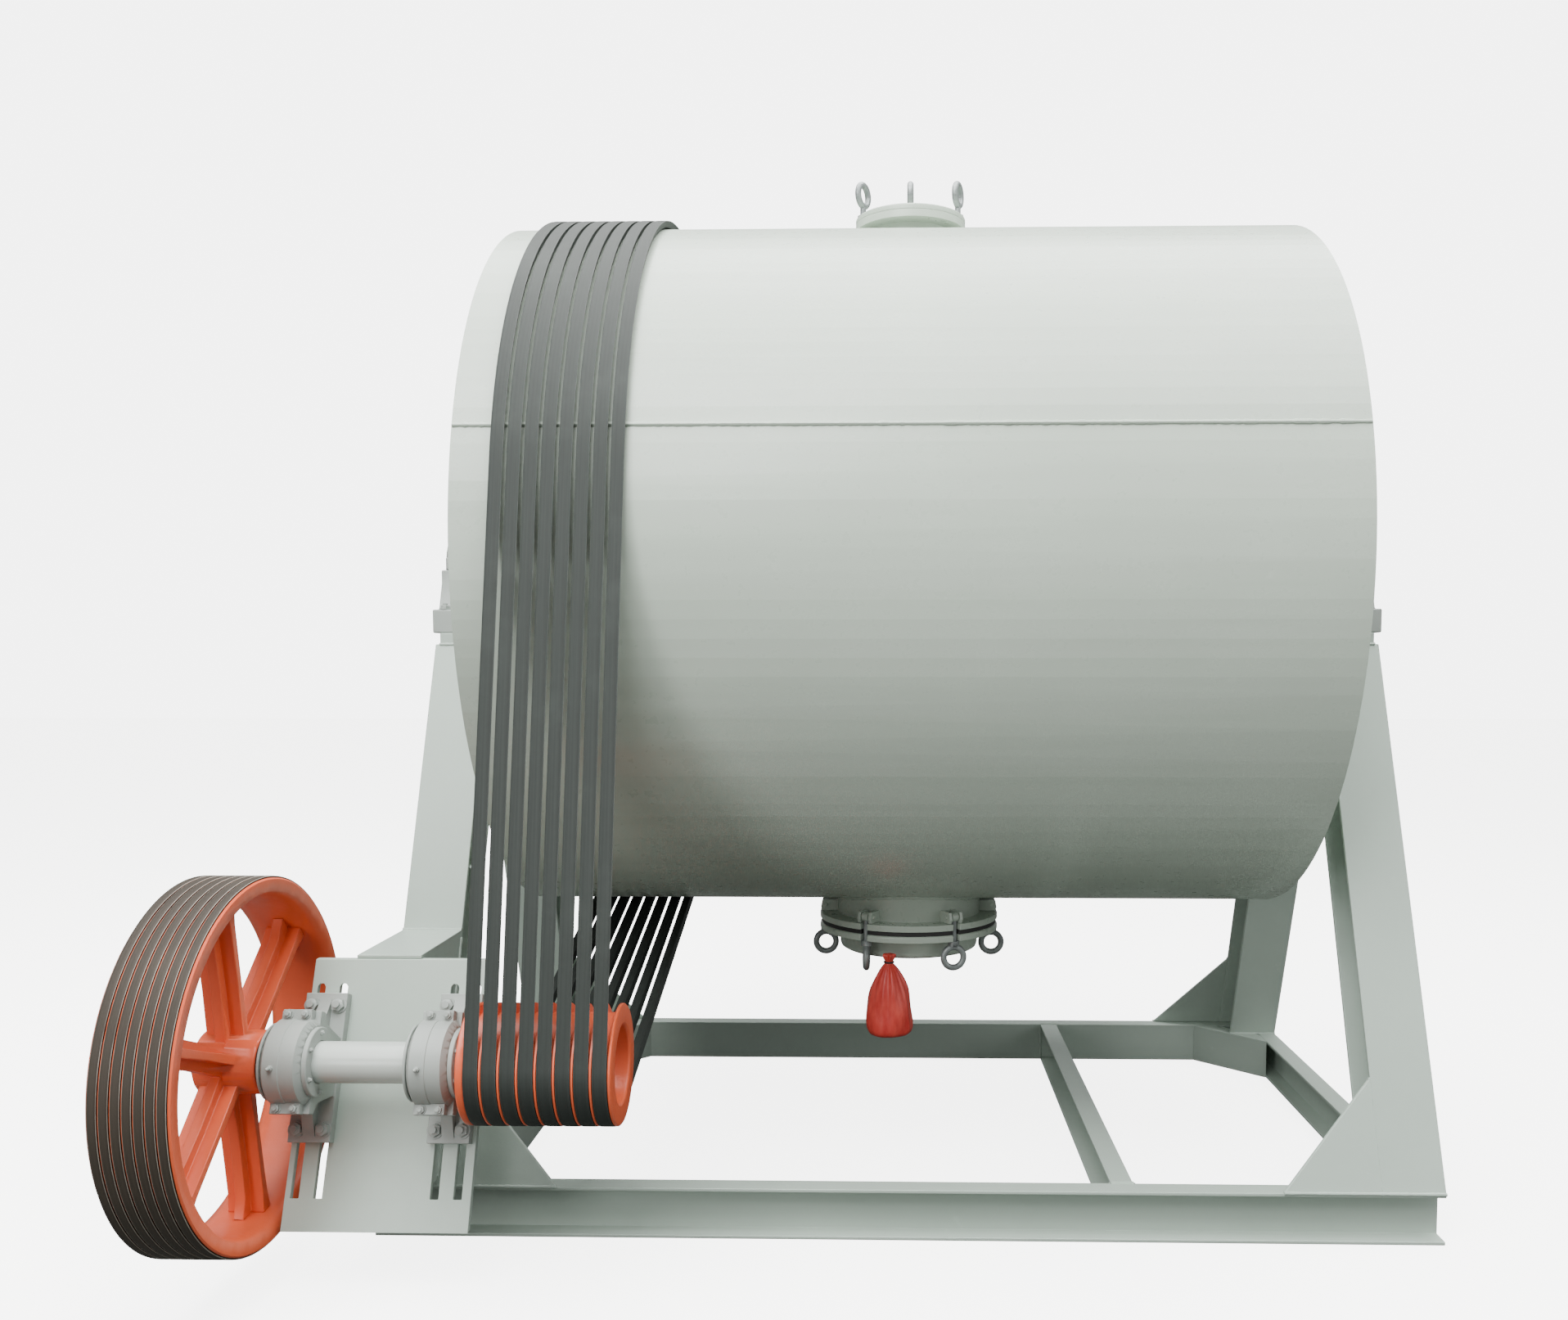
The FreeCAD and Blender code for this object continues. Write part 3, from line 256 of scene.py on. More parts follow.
def dressed(node, edge, material, flatten=True):
    """A sub-part with its sharp edges eased by a small round, as grinding and paint leave them.

    flatten joins the triangles of each flat face first; castings and rolled plates go without it.
    """
    shape = bmesh.new()
    shape.from_mesh(frame["nodes"][node].data)
    bmesh.ops.remove_doubles(shape, verts=shape.verts, dist=SAME_POINT)
    if flatten:
        bmesh.ops.dissolve_limit(shape, angle_limit=STILL_FLAT, verts=shape.verts, edges=shape.edges)
    if edge:
        corners = [e for e in shape.edges if len(e.link_faces) == 2
                   and e.calc_face_angle(0.0) > SHARP and e.calc_length() > 2.2 * edge]
        bmesh.ops.bevel(shape, geom=corners, offset=edge, segments=2, profile=0.5, affect="EDGES",
                        clamp_overlap=True)
    mesh = bpy.data.meshes.new(node + "_dressed")
    shape.to_mesh(mesh)
    shape.free()
    smooth(mesh)
    piece = show(node + "_dressed", mesh, material, body_of_node(node), laid_out=False)
    keep_flat = piece.modifiers.new("flat faces", "WEIGHTED_NORMAL")
    keep_flat.keep_sharp = True
    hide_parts(node)


for name in ("front_rail", "rear_rail", "middle_cross_beam", "right_end_beam", "left_inner_beam",
             "left_end_beam", "right_corner_brace", "left_corner_brace", "front_left_leg", "front_right_leg",
             "rear_left_leg", "rear_right_leg", "front_gussets", "rear_gussets", "mount_plate",
             "mount_bracket", "leg_lug", "left_bearing_seat", "right_bearing_seat"):
    dressed(name, 0.0022, frame_paint)


# ---- Weld beads of the frame
# Fillet welds laid by hand where legs, gussets, plates and beams meet, painted over with the frame. Each is a
# rippled half-round bead along its joint.
class Growth:
    """A Geometry Nodes tree under construction, with its own named inputs."""

    def __init__(self, name):
        self.tree = bpy.data.node_groups.new(name, "GeometryNodeTree")
        self.inputs = {}
        self.tree.interface.new_socket("Geometry", in_out="INPUT", socket_type="NodeSocketGeometry")
        self.tree.interface.new_socket("Geometry", in_out="OUTPUT", socket_type="NodeSocketGeometry")
        self.entry = self.tree.nodes.new("NodeGroupInput")
        self.exit = self.tree.nodes.new("NodeGroupOutput")

    def ask(self, name, kind="Float"):
        socket = self.tree.interface.new_socket(name, in_out="INPUT", socket_type="NodeSocket" + kind)
        self.inputs[name] = socket.identifier
        return self.entry.outputs[name]

    def node(self, kind, settings=None, sockets=None, output=0):
        made = self.tree.nodes.new(kind)
        for key, value in (settings or {}).items():
            setattr(made, key, value)
        for key, value in (sockets or {}).items():
            if isinstance(value, bpy.types.NodeSocket):
                self.tree.links.new(value, made.inputs[key])
            else:
                made.inputs[key].default_value = value
        return made.outputs[output]

    def close(self, geometry):
        """Make the geometry real, give it the finish, and send it out."""
        material = self.ask("Finish", "Material")
        real = self.node("GeometryNodeRealizeInstances", {}, {0: geometry})
        done = self.node("GeometryNodeSetMaterial", {}, {"Geometry": real, "Material": material})
        self.tree.links.new(done, self.exit.inputs[0])
        return self

    def grow(self, name, seed_mesh, values, body, slot, angle=40.0):
        """Run the tree on a mesh of points or edges and keep the result as a plain mesh."""
        seed = bpy.data.objects.new(name + "_seed", seed_mesh)
        bpy.context.scene.collection.objects.link(seed)
        modifier = seed.modifiers.new("grow", "NODES")
        modifier.node_group = self.tree
        for key, value in values.items():
            modifier[self.inputs[key]] = value
        graph = bpy.context.evaluated_depsgraph_get()
        mesh = bpy.data.meshes.new_from_object(seed.evaluated_get(graph))
        bpy.data.objects.remove(seed)
        smooth(mesh, angle)
        return show(name, mesh, values["Finish"], body)


bead_tree = Growth("weld_bead")
bead_width = bead_tree.ask("Bead Radius")
ripple_length = bead_tree.ask("Ripple Length")
path = bead_tree.node("GeometryNodeMeshToCurve", {}, {"Mesh": bead_tree.entry.outputs["Geometry"]})
path = bead_tree.node("GeometryNodeResampleCurve", {"mode": "LENGTH"},
                      {"Curve": path, "Length": ripple_length})
order = bead_tree.node("GeometryNodeInputIndex")
wobble = bead_tree.node("FunctionNodeRandomValue", {"data_type": "FLOAT"},
                        {2: 0.72, 3: 1.12, "ID": order, "Seed": 7}, output=1)
girth = bead_tree.node("ShaderNodeMath", {"operation": "MULTIPLY"}, {0: wobble, 1: bead_width})
ring = bead_tree.node("GeometryNodeCurvePrimitiveCircle", {"mode": "RADIUS"},
                      {"Resolution": 8, "Radius": 1.0})
bead = bead_tree.node("GeometryNodeCurveToMesh", {}, {"Curve": path, "Profile Curve": ring, "Scale": girth,
                                                      "Fill Caps": True})
bead_tree.close(bead)


def weld(name, runs, body, radius=0.0045, ripple=0.005, material=frame_paint):
    """One bead for each run of points; a run that ends where it starts is a closed ring."""
    mesh = bpy.data.meshes.new(name)
    points = []
    edges = []
    for run in runs:
        closed = (Vector(run[0]) - Vector(run[-1])).length < 1e-6
        spots = run[:-1] if closed else run
        first = len(points)
        points += spots
        edges += [(first + i, first + i + 1) for i in range(len(spots) - 1)]
        if closed:
            edges.append((first + len(spots) - 1, first))
    mesh.from_pydata(points, edges, [])
    bead_tree.grow(name, mesh, {"Bead Radius": radius, "Ripple Length": ripple, "Finish": material},
                   body, "grey_paint")


HALF_LENGTH = 1.237
HALF_DEPTH = 0.741
RAIL_TOP = 0.120
RAIL_BACK = 0.688
LEG_SLOPE = 0.3963
LEG_WIDTH = 0.146
LEG_DEPTH = 0.150
LEG_TOP = 1.384
SEAT_INNER, SEAT_OUTER = 1.103, 1.225
GUSSET_SET_IN = 0.005
GUSSET = (0.224, 0.240)
FRONT_LEFT_GUSSET = (0.280, 0.290)
BEAM_SIDES = (0.533, 0.480, -1.030, -1.083, 1.184)
BEAM_TOPS = ((0.480, 0.533), (-1.083, -1.030), (1.184, 1.237), (-1.237, -1.184))
BRACKET_TOP = 0.678


def leg_face(z):
    """How far forward the outer face of a front leg is at a height."""
    return -HALF_DEPTH + LEG_SLOPE * (z - RAIL_TOP)


runs = []
for side in (-1, 1):
    outer = side * HALF_LENGTH
    inner = side * (HALF_LENGTH - LEG_WIDTH)
    for way in (1, -1):
        front = way * leg_face(RAIL_TOP)
        back = way * (leg_face(RAIL_TOP) + LEG_DEPTH)
        runs += [[(outer, y, RAIL_TOP), (inner, y, RAIL_TOP)] for y in (front, back)]
        runs += [[(side * x, way * (leg_face(LEG_TOP) + deep), LEG_TOP) for x in (SEAT_OUTER, SEAT_INNER)]
                 for deep in (0.0, LEG_DEPTH)]
        run_length, rise = FRONT_LEFT_GUSSET if (side, way) == (-1, 1) else GUSSET
        high = RAIL_TOP + rise
        runs += [[(inner, way * (leg_face(RAIL_TOP) + GUSSET_SET_IN), RAIL_TOP),
                  (inner, way * (leg_face(high) + GUSSET_SET_IN), high)],
                 [(inner, way * leg_face(RAIL_TOP), RAIL_TOP),
                  (inner - side * run_length, way * leg_face(RAIL_TOP), RAIL_TOP)]]
for x in BEAM_SIDES:
    runs += [[(x, y, 0.004), (x, y, RAIL_TOP)] for y in (-RAIL_BACK, RAIL_BACK)]
for y in (-RAIL_BACK, RAIL_BACK):
    runs += [[(left, y, RAIL_TOP), (right, y, RAIL_TOP)] for left, right in BEAM_TOPS]
# the bracket and its plate on the front left leg
bracket_sides = (-HALF_LENGTH, LEG_WIDTH - HALF_LENGTH)
for x in bracket_sides:
    runs.append([(x, leg_face(z / 1000), z / 1000) for z in range(140, 670, 40)])
runs.append([(x, leg_face(BRACKET_TOP), BRACKET_TOP) for x in bracket_sides])
weld("frame_welds", runs, "frame")


# ---- Trunnion bearings
# Cast plummer blocks in rougher grey enamel: a base bolted down through its foot, a cap held by two bolts a
# side, a cover ring on both faces, and a grease nipple on top.
housing_paint = enamel("housing_enamel", (0.38, 0.415, 0.385), (0.28, 0.31, 0.285), gloss=0.40, cast=0.9)
for name in ("left_bearing_base", "left_bearing_cap", "right_bearing_base", "right_bearing_cap"):
    dressed(name, 0.004, housing_paint, flatten=False)


def spun(name, outline, steps=96):
    """A ring turned about X: the outline is a closed loop of (place along X, radius)."""
    shape = bmesh.new()
    rows = []
    for step in range(steps):
        turn = 2 * math.pi * step / steps
        rows.append([shape.verts.new((x, r * math.cos(turn), r * math.sin(turn))) for x, r in outline])
    for row, following in zip(rows, rows[1:] + rows[:1]):
        for i in range(len(outline)):
            j = (i + 1) % len(outline)
            shape.faces.new((row[i], row[j], following[j], following[i]))
    bmesh.ops.recalc_face_normals(shape, faces=shape.faces)
    mesh = bpy.data.meshes.new(name)
    shape.to_mesh(mesh)
    shape.free()
    smooth(mesh, 30.0)
    return mesh


def cover_ring(name, centre, inner, outer, near, far, body, material, ease=0.0015):
    """A turned cover from one place along X to another, with both outer corners eased."""
    low, high = sorted((near, far))
    mesh = spun(name, [(low, inner), (high, inner), (high, outer - ease), (high - ease, outer),
                       (low + ease, outer), (low, outer - ease)])
    mesh.transform(Matrix.Translation((0.0, centre[0], centre[1])))
    return show(name, mesh, material, body)


fastener_tree = Growth("hex_fastener")
head_radius = fastener_tree.ask("Head Radius")
facing = fastener_tree.ask("Facing", "Vector")
spin_seed = fastener_tree.ask("Spin Seed", "Int")
washer = fastener_tree.node("GeometryNodeMeshCylinder", {}, {"Vertices": 20, "Radius": 1.25, "Depth": 0.2})
washer = fastener_tree.node("GeometryNodeTransform", {}, {"Geometry": washer, "Translation": (0, 0, 0.1)})
head = fastener_tree.node("GeometryNodeMeshCylinder", {}, {"Vertices": 6, "Radius": 1.0, "Depth": 0.6})
head = fastener_tree.node("GeometryNodeTransform", {}, {"Geometry": head, "Translation": (0, 0, 0.5)})
crown = fastener_tree.node("GeometryNodeMeshCone", {}, {"Vertices": 18, "Radius Top": 0.66,
                                                        "Radius Bottom": 0.88, "Depth": 0.12})
crown = fastener_tree.node("GeometryNodeTransform", {}, {"Geometry": crown, "Translation": (0, 0, 0.8)})
stub = fastener_tree.node("GeometryNodeMeshCylinder", {}, {"Vertices": 14, "Radius": 0.5, "Depth": 0.5})
stub = fastener_tree.node("GeometryNodeTransform", {}, {"Geometry": stub, "Translation": (0, 0, 1.05)})
joined = fastener_tree.tree.nodes.new("GeometryNodeJoinGeometry")
for part in (washer, head, crown, stub):
    fastener_tree.tree.links.new(part, joined.inputs[0])
placed = fastener_tree.node("GeometryNodeInstanceOnPoints", {}, {
    "Points": fastener_tree.entry.outputs["Geometry"], "Instance": joined.outputs[0], "Rotation": facing,
    "Scale": head_radius})
spin = fastener_tree.node("FunctionNodeRandomValue", {"data_type": "FLOAT"},
                          {2: 0.0, 3: 1.05, "Seed": spin_seed}, output=1)
spin = fastener_tree.node("ShaderNodeCombineXYZ", {}, {"Z": spin})
placed = fastener_tree.node("GeometryNodeRotateInstances", {}, {"Instances": placed, "Rotation": spin,
                                                                "Local Space": True})
fastener_tree.close(placed)


def fasteners(name, spots, facing, radius, body, material, seed=3):
    """Hex heads with washers at the given spots, all facing along one direction."""
    mesh = bpy.data.meshes.new(name)
    mesh.from_pydata([tuple(spot) for spot in spots], [], [])
    turn = Vector(facing).to_track_quat("Z", "Y").to_euler()
    return fastener_tree.grow(name, mesh, {"Head Radius": radius, "Facing": tuple(turn), "Spin Seed": seed,
                                           "Finish": material}, body, "grey_paint", 30.0)


def nipple(name, spot, facing, body, material, scale=1.0):
    """A small grease nipple: hexagon, neck and ball."""
    outline = [(0.0, 0.0001), (0.0, 0.006), (0.006, 0.006), (0.007, 0.0035), (0.012, 0.0030),
               (0.014, 0.0038), (0.0165, 0.0030), (0.018, 0.0001)]
    mesh = spun(name, [(x * scale, r * scale) for x, r in outline], 12)
    turn = Vector(facing).to_track_quat("X", "Z").to_matrix().to_4x4()
    mesh.transform(Matrix.Translation(spot) @ turn)
    show(name, mesh, material, body)


BEARING_X = 1.164
COVER_BACK, COVER_FACE = 0.0745, 0.0795
COVER_INNER, COVER_OUTER = 0.074, 0.122
SCREW_CIRCLE = 0.106
CAP_BOLT = (0.045, 0.164, 1.618)
FOOT_BOLT = (0.052, 0.2195, 1.476)
CAP_TOP = 1.7335
for word, side in (("left", -1), ("right", 1)):
    x = side * BEARING_X
    for face, way in (("inner", -side), ("outer", side)):
        ring_name = f"{word}_bearing_{face}_cover"
        cover_ring(ring_name, (0.0, AXIS_HEIGHT), COVER_INNER, COVER_OUTER, x + way * COVER_BACK,
                   x + way * COVER_FACE, "frame", housing_paint)
        around = [(x + way * COVER_FACE, SCREW_CIRCLE * math.cos(a), AXIS_HEIGHT + SCREW_CIRCLE * math.sin(a))
                  for a in (math.radians(30 + 60 * n) for n in range(6))]
        fasteners(ring_name + "_screws", around, (way, 0, 0), 0.0055, "frame", housing_paint)
    for word_of_bolt, (across, out, height), head in (("cap", CAP_BOLT, 0.013), ("foot", FOOT_BOLT, 0.0125)):
        spots = [(x + dx, dy, height) for dx in (-across, across) for dy in (-out, out)]
        fasteners(f"{word}_bearing_{word_of_bolt}_bolts", spots, (0, 0, 1), head, "frame", housing_paint)
    nipple(f"{word}_bearing_nipple", (x, 0.0, CAP_TOP), (0, 0, 1), "frame", housing_paint)
SEAT_WELD = (0.090, 0.238)
runs = []
for side in (-1, 1):
    for x in (side * SEAT_INNER, side * SEAT_OUTER):
        runs += [[(x, way * y, LEG_TOP) for y in SEAT_WELD] for way in (-1, 1)]
weld("seat_welds", runs, "frame")


# ---- Pillow blocks of the jackshaft
# Two smaller split blocks stand square on the sloping plate, each held by four bolts that slide in the
# plate's slots. They are cast, with a band round the body, an end cover and a nipple.
for name in ("left_pillow_base", "left_pillow_cap", "right_pillow_base", "right_pillow_cap"):
    dressed(name, 0.003, housing_paint)
LEAN = math.atan(LEG_SLOPE)
UP_PLATE = Vector((0.0, math.sin(LEAN), math.cos(LEAN)))
OFF_PLATE = Vector((0.0, -math.cos(LEAN), math.sin(LEAN)))
FOOT_FACE, CAP_FACE = -0.116, 0.022
FOOT_SPREAD = (0.029, 0.132)
CAP_SPREAD = (0.018, 0.096)
FACE_SCREW_CIRCLE = 0.060
for word, x in (("left", -1.282), ("right", -0.982)):
    def on_block(across, along, off):
        """A spot on the block, from the shaft's centre: across, up the plate, and away from it."""
        return Vector((x + across, JACK.y, JACK.z)) + UP_PLATE * along + OFF_PLATE * off

    for bolts, (wide, tall), off, head, seed in (("foot", FOOT_SPREAD, FOOT_FACE, 0.0145, 5),
                                                 ("cap", CAP_SPREAD, CAP_FACE, 0.0085, 6)):
        spots = [on_block(across, along, off) for across in (-wide, wide) for along in (-tall, tall)]
        fasteners(f"{word}_pillow_{bolts}_bolts", spots, OFF_PLATE, head, "frame", housing_paint, seed=seed)
    cover_ring(f"{word}_pillow_band", (JACK.y, JACK.z), 0.080, 0.0885, x - 0.033, x + 0.002, "frame",
               housing_paint, ease=0.002)
    cover_ring(f"{word}_pillow_cover_right", (JACK.y, JACK.z), 0.0445, 0.072, x + 0.0415, x + 0.052, "frame",
               housing_paint)
    around = [(x + 0.052, JACK.y + FACE_SCREW_CIRCLE * math.cos(a), JACK.z + FACE_SCREW_CIRCLE * math.sin(a))
              for a in (math.radians(20 + 60 * n) for n in range(6))]
    fasteners(f"{word}_pillow_cover_screws", around, (1, 0, 0), 0.0052, "frame", housing_paint, seed=8)
    cover_ring(f"{word}_pillow_cover_left", (JACK.y, JACK.z), 0.064, 0.080, x - 0.0415, x - 0.047, "frame",
               housing_paint)
    nipple(f"{word}_pillow_nipple", on_block(-0.014, -0.020, 0.0845), OFF_PLATE - UP_PLATE * 0.25, "frame",
           housing_paint)


# ---- Drum
# Three rolled plates welded along and round, two flat heads set in from the ends, and flanged trunnions. The
# enamel is paler and glossier than the frame's and shows faint drag lines along the drum.
drum_paint = enamel("drum_enamel", (0.485, 0.555, 0.475), (0.41, 0.475, 0.40), gloss=0.28, peel=0.07,
                    streaks=0.38)
for name in ("drum_shell_front", "drum_shell_top", "drum_shell_rear"):
    dressed(name, 0.0, drum_paint, flatten=False)
for name in ("left_head", "right_head"):
    dressed(name, 0.0, drum_paint)
DRUM_RADIUS = 0.900
HALF_SEAM = 0.981
SEAM_PLACES = (163.2, 30.0, 295.0)
runs = []
for degrees in SEAM_PLACES:
    turn = math.radians(degrees)
    y = (DRUM_RADIUS + 0.0005) * math.cos(turn)
    z = AXIS_HEIGHT + (DRUM_RADIUS + 0.0005) * math.sin(turn)
    runs.append([(-HALF_SEAM, y, z), (HALF_SEAM, y, z)])
weld("drum_long_seams", runs, "drum", radius=0.0055, ripple=0.007, material=drum_paint)


def ring_points(x, radius, steps=144):
    """A closed ring of points round the drum's axis."""
    turns = [2 * math.pi * n / steps for n in range(steps)]
    return [(x, radius * math.cos(a), AXIS_HEIGHT + radius * math.sin(a)) for a in turns + [0.0]]


HEAD_EDGE = (0.979, 0.884)
TRUNNION_EDGE = (0.980, 0.231)
weld("drum_head_welds", [ring_points(side * x, radius) for x, radius in (HEAD_EDGE, TRUNNION_EDGE)
                         for side in (-1, 1)], "drum", radius=0.005, ripple=0.007, material=drum_paint)
for name in ("left_trunnion", "right_trunnion"):
    dressed(name, 0.0, drum_paint)


# ---- Manhole under the drum and charging port on top
# Short flanged necks welded into the shell. Each cover is clamped by swing bolts that hinge in lug pairs on
# the neck and swing into open slots; their nuts are forged rings for a bar. A rubber ring seals the manhole,
# and a lifting eye stands in the middle of the port's cover.
zinc = Finish("worn_zinc")
dull = zinc.noise(30.0, 5.0, 0.65)
ring_finish = zinc.surface(
    zinc.colours(zinc.above(dull, 0.4, 0.65), (0.33, 0.36, 0.35, 1.0), (0.20, 0.22, 0.22, 1.0)),
    dull * 0.25 + 0.32, zinc.noise(120.0, 4.0, 0.6), bump=0.25, Metallic=0.45)
black_rubber = Finish("black_rubber")
worn = black_rubber.noise(55.0, 4.0, 0.6)
rubber_finish = black_rubber.surface(
    black_rubber.colours(worn, (0.012, 0.012, 0.012, 1.0), (0.035, 0.034, 0.032, 1.0)), worn * 0.2 + 0.5,
    black_rubber.noise(300.0, 3.0), bump=0.2)
for name in ("manhole_neck", "manhole_cover", "port_neck", "port_cover"):
    dressed(name, 0.0018, drum_paint)
for name in ("manhole_bolts", "port_bolts"):
    dressed(name, 0.0, ring_finish)
dressed("manhole_gasket", 0.001, rubber_finish)
PORT_X = 0.020


def saddle(radius, way, steps=72):
    """The line where an upright neck meets the shell."""
    points = []
    for n in list(range(steps)) + [0]:
        turn = 2 * math.pi * n / steps
        y = radius * math.sin(turn)
        points.append((PORT_X + radius * math.cos(turn), y,
                       AXIS_HEIGHT + way * math.sqrt(DRUM_RADIUS ** 2 - y * y)))
    return points


MANHOLE_NECK, PORT_NECK = 0.2015, 0.1075
weld("neck_welds", [saddle(MANHOLE_NECK, -1), saddle(PORT_NECK, 1)], "drum", radius=0.006, ripple=0.007,
     material=drum_paint)
LUG_GAP, LUG_THICK = 0.033, 0.009
PIN, EYE = (0.0055, 0.026), (0.0125, 0.0095)


def lug_pairs(name, count, reach, low, high, inner, pin_height):
    """Hinge lugs in pairs round a neck, with the pin and the eye of the swing bolt between them.

    They stand from the neck at inner to a little past the pin at reach, between two heights.
    """
    shape = bmesh.new()
    for number in range(count):
        made = []
        for offset in (-LUG_GAP / 2, LUG_GAP / 2):
            outline = [(inner, low), (reach + 0.010, low), (reach + 0.014, low + 0.35 * (high - low)),
                       (reach + 0.010, high), (inner, high)]
            sides = [[shape.verts.new((r, offset + half, z)) for r, z in outline]
                     for half in (-LUG_THICK / 2, LUG_THICK / 2)]
            shape.faces.new(sides[0])
            shape.faces.new(sides[1][::-1])
            for i in range(len(outline)):
                j = (i + 1) % len(outline)
                shape.faces.new((sides[0][j], sides[0][i], sides[1][i], sides[1][j]))
            made += sides[0] + sides[1]
        for radius, half in (PIN, EYE):
            turned = bmesh.ops.create_cone(shape, cap_ends=True, segments=18, radius1=radius, radius2=radius,
                                           depth=2 * half, matrix=Matrix.Translation((reach, 0, pin_height))
                                           @ Matrix.Rotation(math.pi / 2, 4, "X"))
            made += turned["verts"]
        turn = Matrix.Rotation(2 * math.pi * number / count, 4, "Z")
        bmesh.ops.transform(shape, matrix=Matrix.Translation((PORT_X, 0, 0)) @ turn, verts=made)
    bmesh.ops.recalc_face_normals(shape, faces=shape.faces)
    mesh = bpy.data.meshes.new(name)
    shape.to_mesh(mesh)
    shape.free()
    smooth(mesh, 30.0)
    lugs = show(name, mesh, drum_paint, "drum")
    eased = lugs.modifiers.new("eased", "BEVEL")
    eased.width = 0.0012
    eased.segments = 2
    eased.angle_limit = math.radians(50)


lug_pairs("manhole_lugs", 6, 0.234, 0.6375, 0.668, 0.199, 0.6545)
lug_pairs("port_lugs", 2, 0.130, 2.489, 2.5115, 0.104, 2.4995)


# ---- Bag tied below the manhole
# Small loose parts are kept in a thin red film bag, gathered and tied to a bolt at its neck. The film is
# pleated below the tie and bulges where the parts press on it.
film = Finish("red_film")
folds_and_painted_shade = film.noise(34.0, 5.0, 0.6, stretch=(1.0, 1.0, 0.35))
# The red is darker in the hollows of the bumped folds and lighter on their ridges: painted shade and highlight.
film_finish = film.surface(film.colours(film.above(folds_and_painted_shade, 0.35, 0.7), (0.50, 0.030, 0.025, 1.0),
                                        (0.72, 0.085, 0.06, 1.0)),
                           folds_and_painted_shade * 0.3 + 0.22, folds_and_painted_shade, bump=0.6, distance=0.004)
BAG_X, BAG_Y = -0.037, -0.250
# height, radius, and how deep the pleats are there
BAG_ROWS = [(0.565, 0.0150, 0.30), (0.560, 0.0165, 0.32), (0.552, 0.0140, 0.30), (0.545, 0.0100, 0.10),
            (0.539, 0.0105, 0.10), (0.531, 0.0180, 0.22), (0.518, 0.0270, 0.20), (0.500, 0.0370, 0.16),
            (0.480, 0.0470, 0.12), (0.458, 0.0540, 0.09), (0.434, 0.0590, 0.06), (0.410, 0.0620, 0.045),
            (0.388, 0.0635, 0.035), (0.370, 0.0630, 0.03), (0.358, 0.0600, 0.03), (0.350, 0.0540, 0.03),
            (0.3462, 0.0400, 0.02), (0.3450, 0.0150, 0.0)]
shape = bmesh.new()
AROUND = 72
rows = []
for z, radius, pleat in BAG_ROWS:
    row = []
    for n in range(AROUND):
        a = 2 * math.pi * n / AROUND
        fold = math.sin(9 * a + 0.7) * 0.6 + math.sin(14 * a + 2.1) * 0.4 + 0.5 * math.sin(5 * a + 1.3)
        lump = 0.03 * math.sin(3 * a + 40 * z) + 0.025 * math.sin(4 * a - 65 * z + 1.0)
        spread = radius * (1 + pleat * fold * 0.7 + lump * min(1.0, radius / 0.05))
        flat = 1.0 - 0.14 * min(1.0, max(0.0, (0.52 - z) / 0.08))
        row.append(shape.verts.new((BAG_X + spread * math.cos(a) * 0.97,
                                    BAG_Y + spread * math.sin(a) * flat, z)))
    rows.append(row)
for upper, lower in zip(rows, rows[1:]):
    for i in range(AROUND):
        j = (i + 1) % AROUND
        shape.faces.new((upper[i], lower[i], lower[j], upper[j]))
shape.faces.new(rows[0])
shape.faces.new(rows[-1][::-1])
bmesh.ops.recalc_face_normals(shape, faces=shape.faces)
mesh = bpy.data.meshes.new("film_bag")
shape.to_mesh(mesh)
shape.free()
smooth(mesh, 60.0)
bag = show("film_bag", mesh, film_finish, "drum")
finer = bag.modifiers.new("finer", "SUBSURF")
finer.levels = finer.render_levels = 1
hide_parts("parts_bag")
TIE_HEIGHT, TIE_RADIUS, TIE_THICK = 0.542, 0.0125, 0.0022
tie = spun("bag_tie", [(math.cos(a) * TIE_THICK, TIE_RADIUS + math.sin(a) * TIE_THICK)
                       for a in (2 * math.pi * n / 10 for n in range(10))], 32)
tie.transform(Matrix.Translation((BAG_X, BAG_Y, TIE_HEIGHT)) @ Matrix.Rotation(math.pi / 2, 4, "Y"))
show("bag_tie", tie, rubber_finish, "drum")
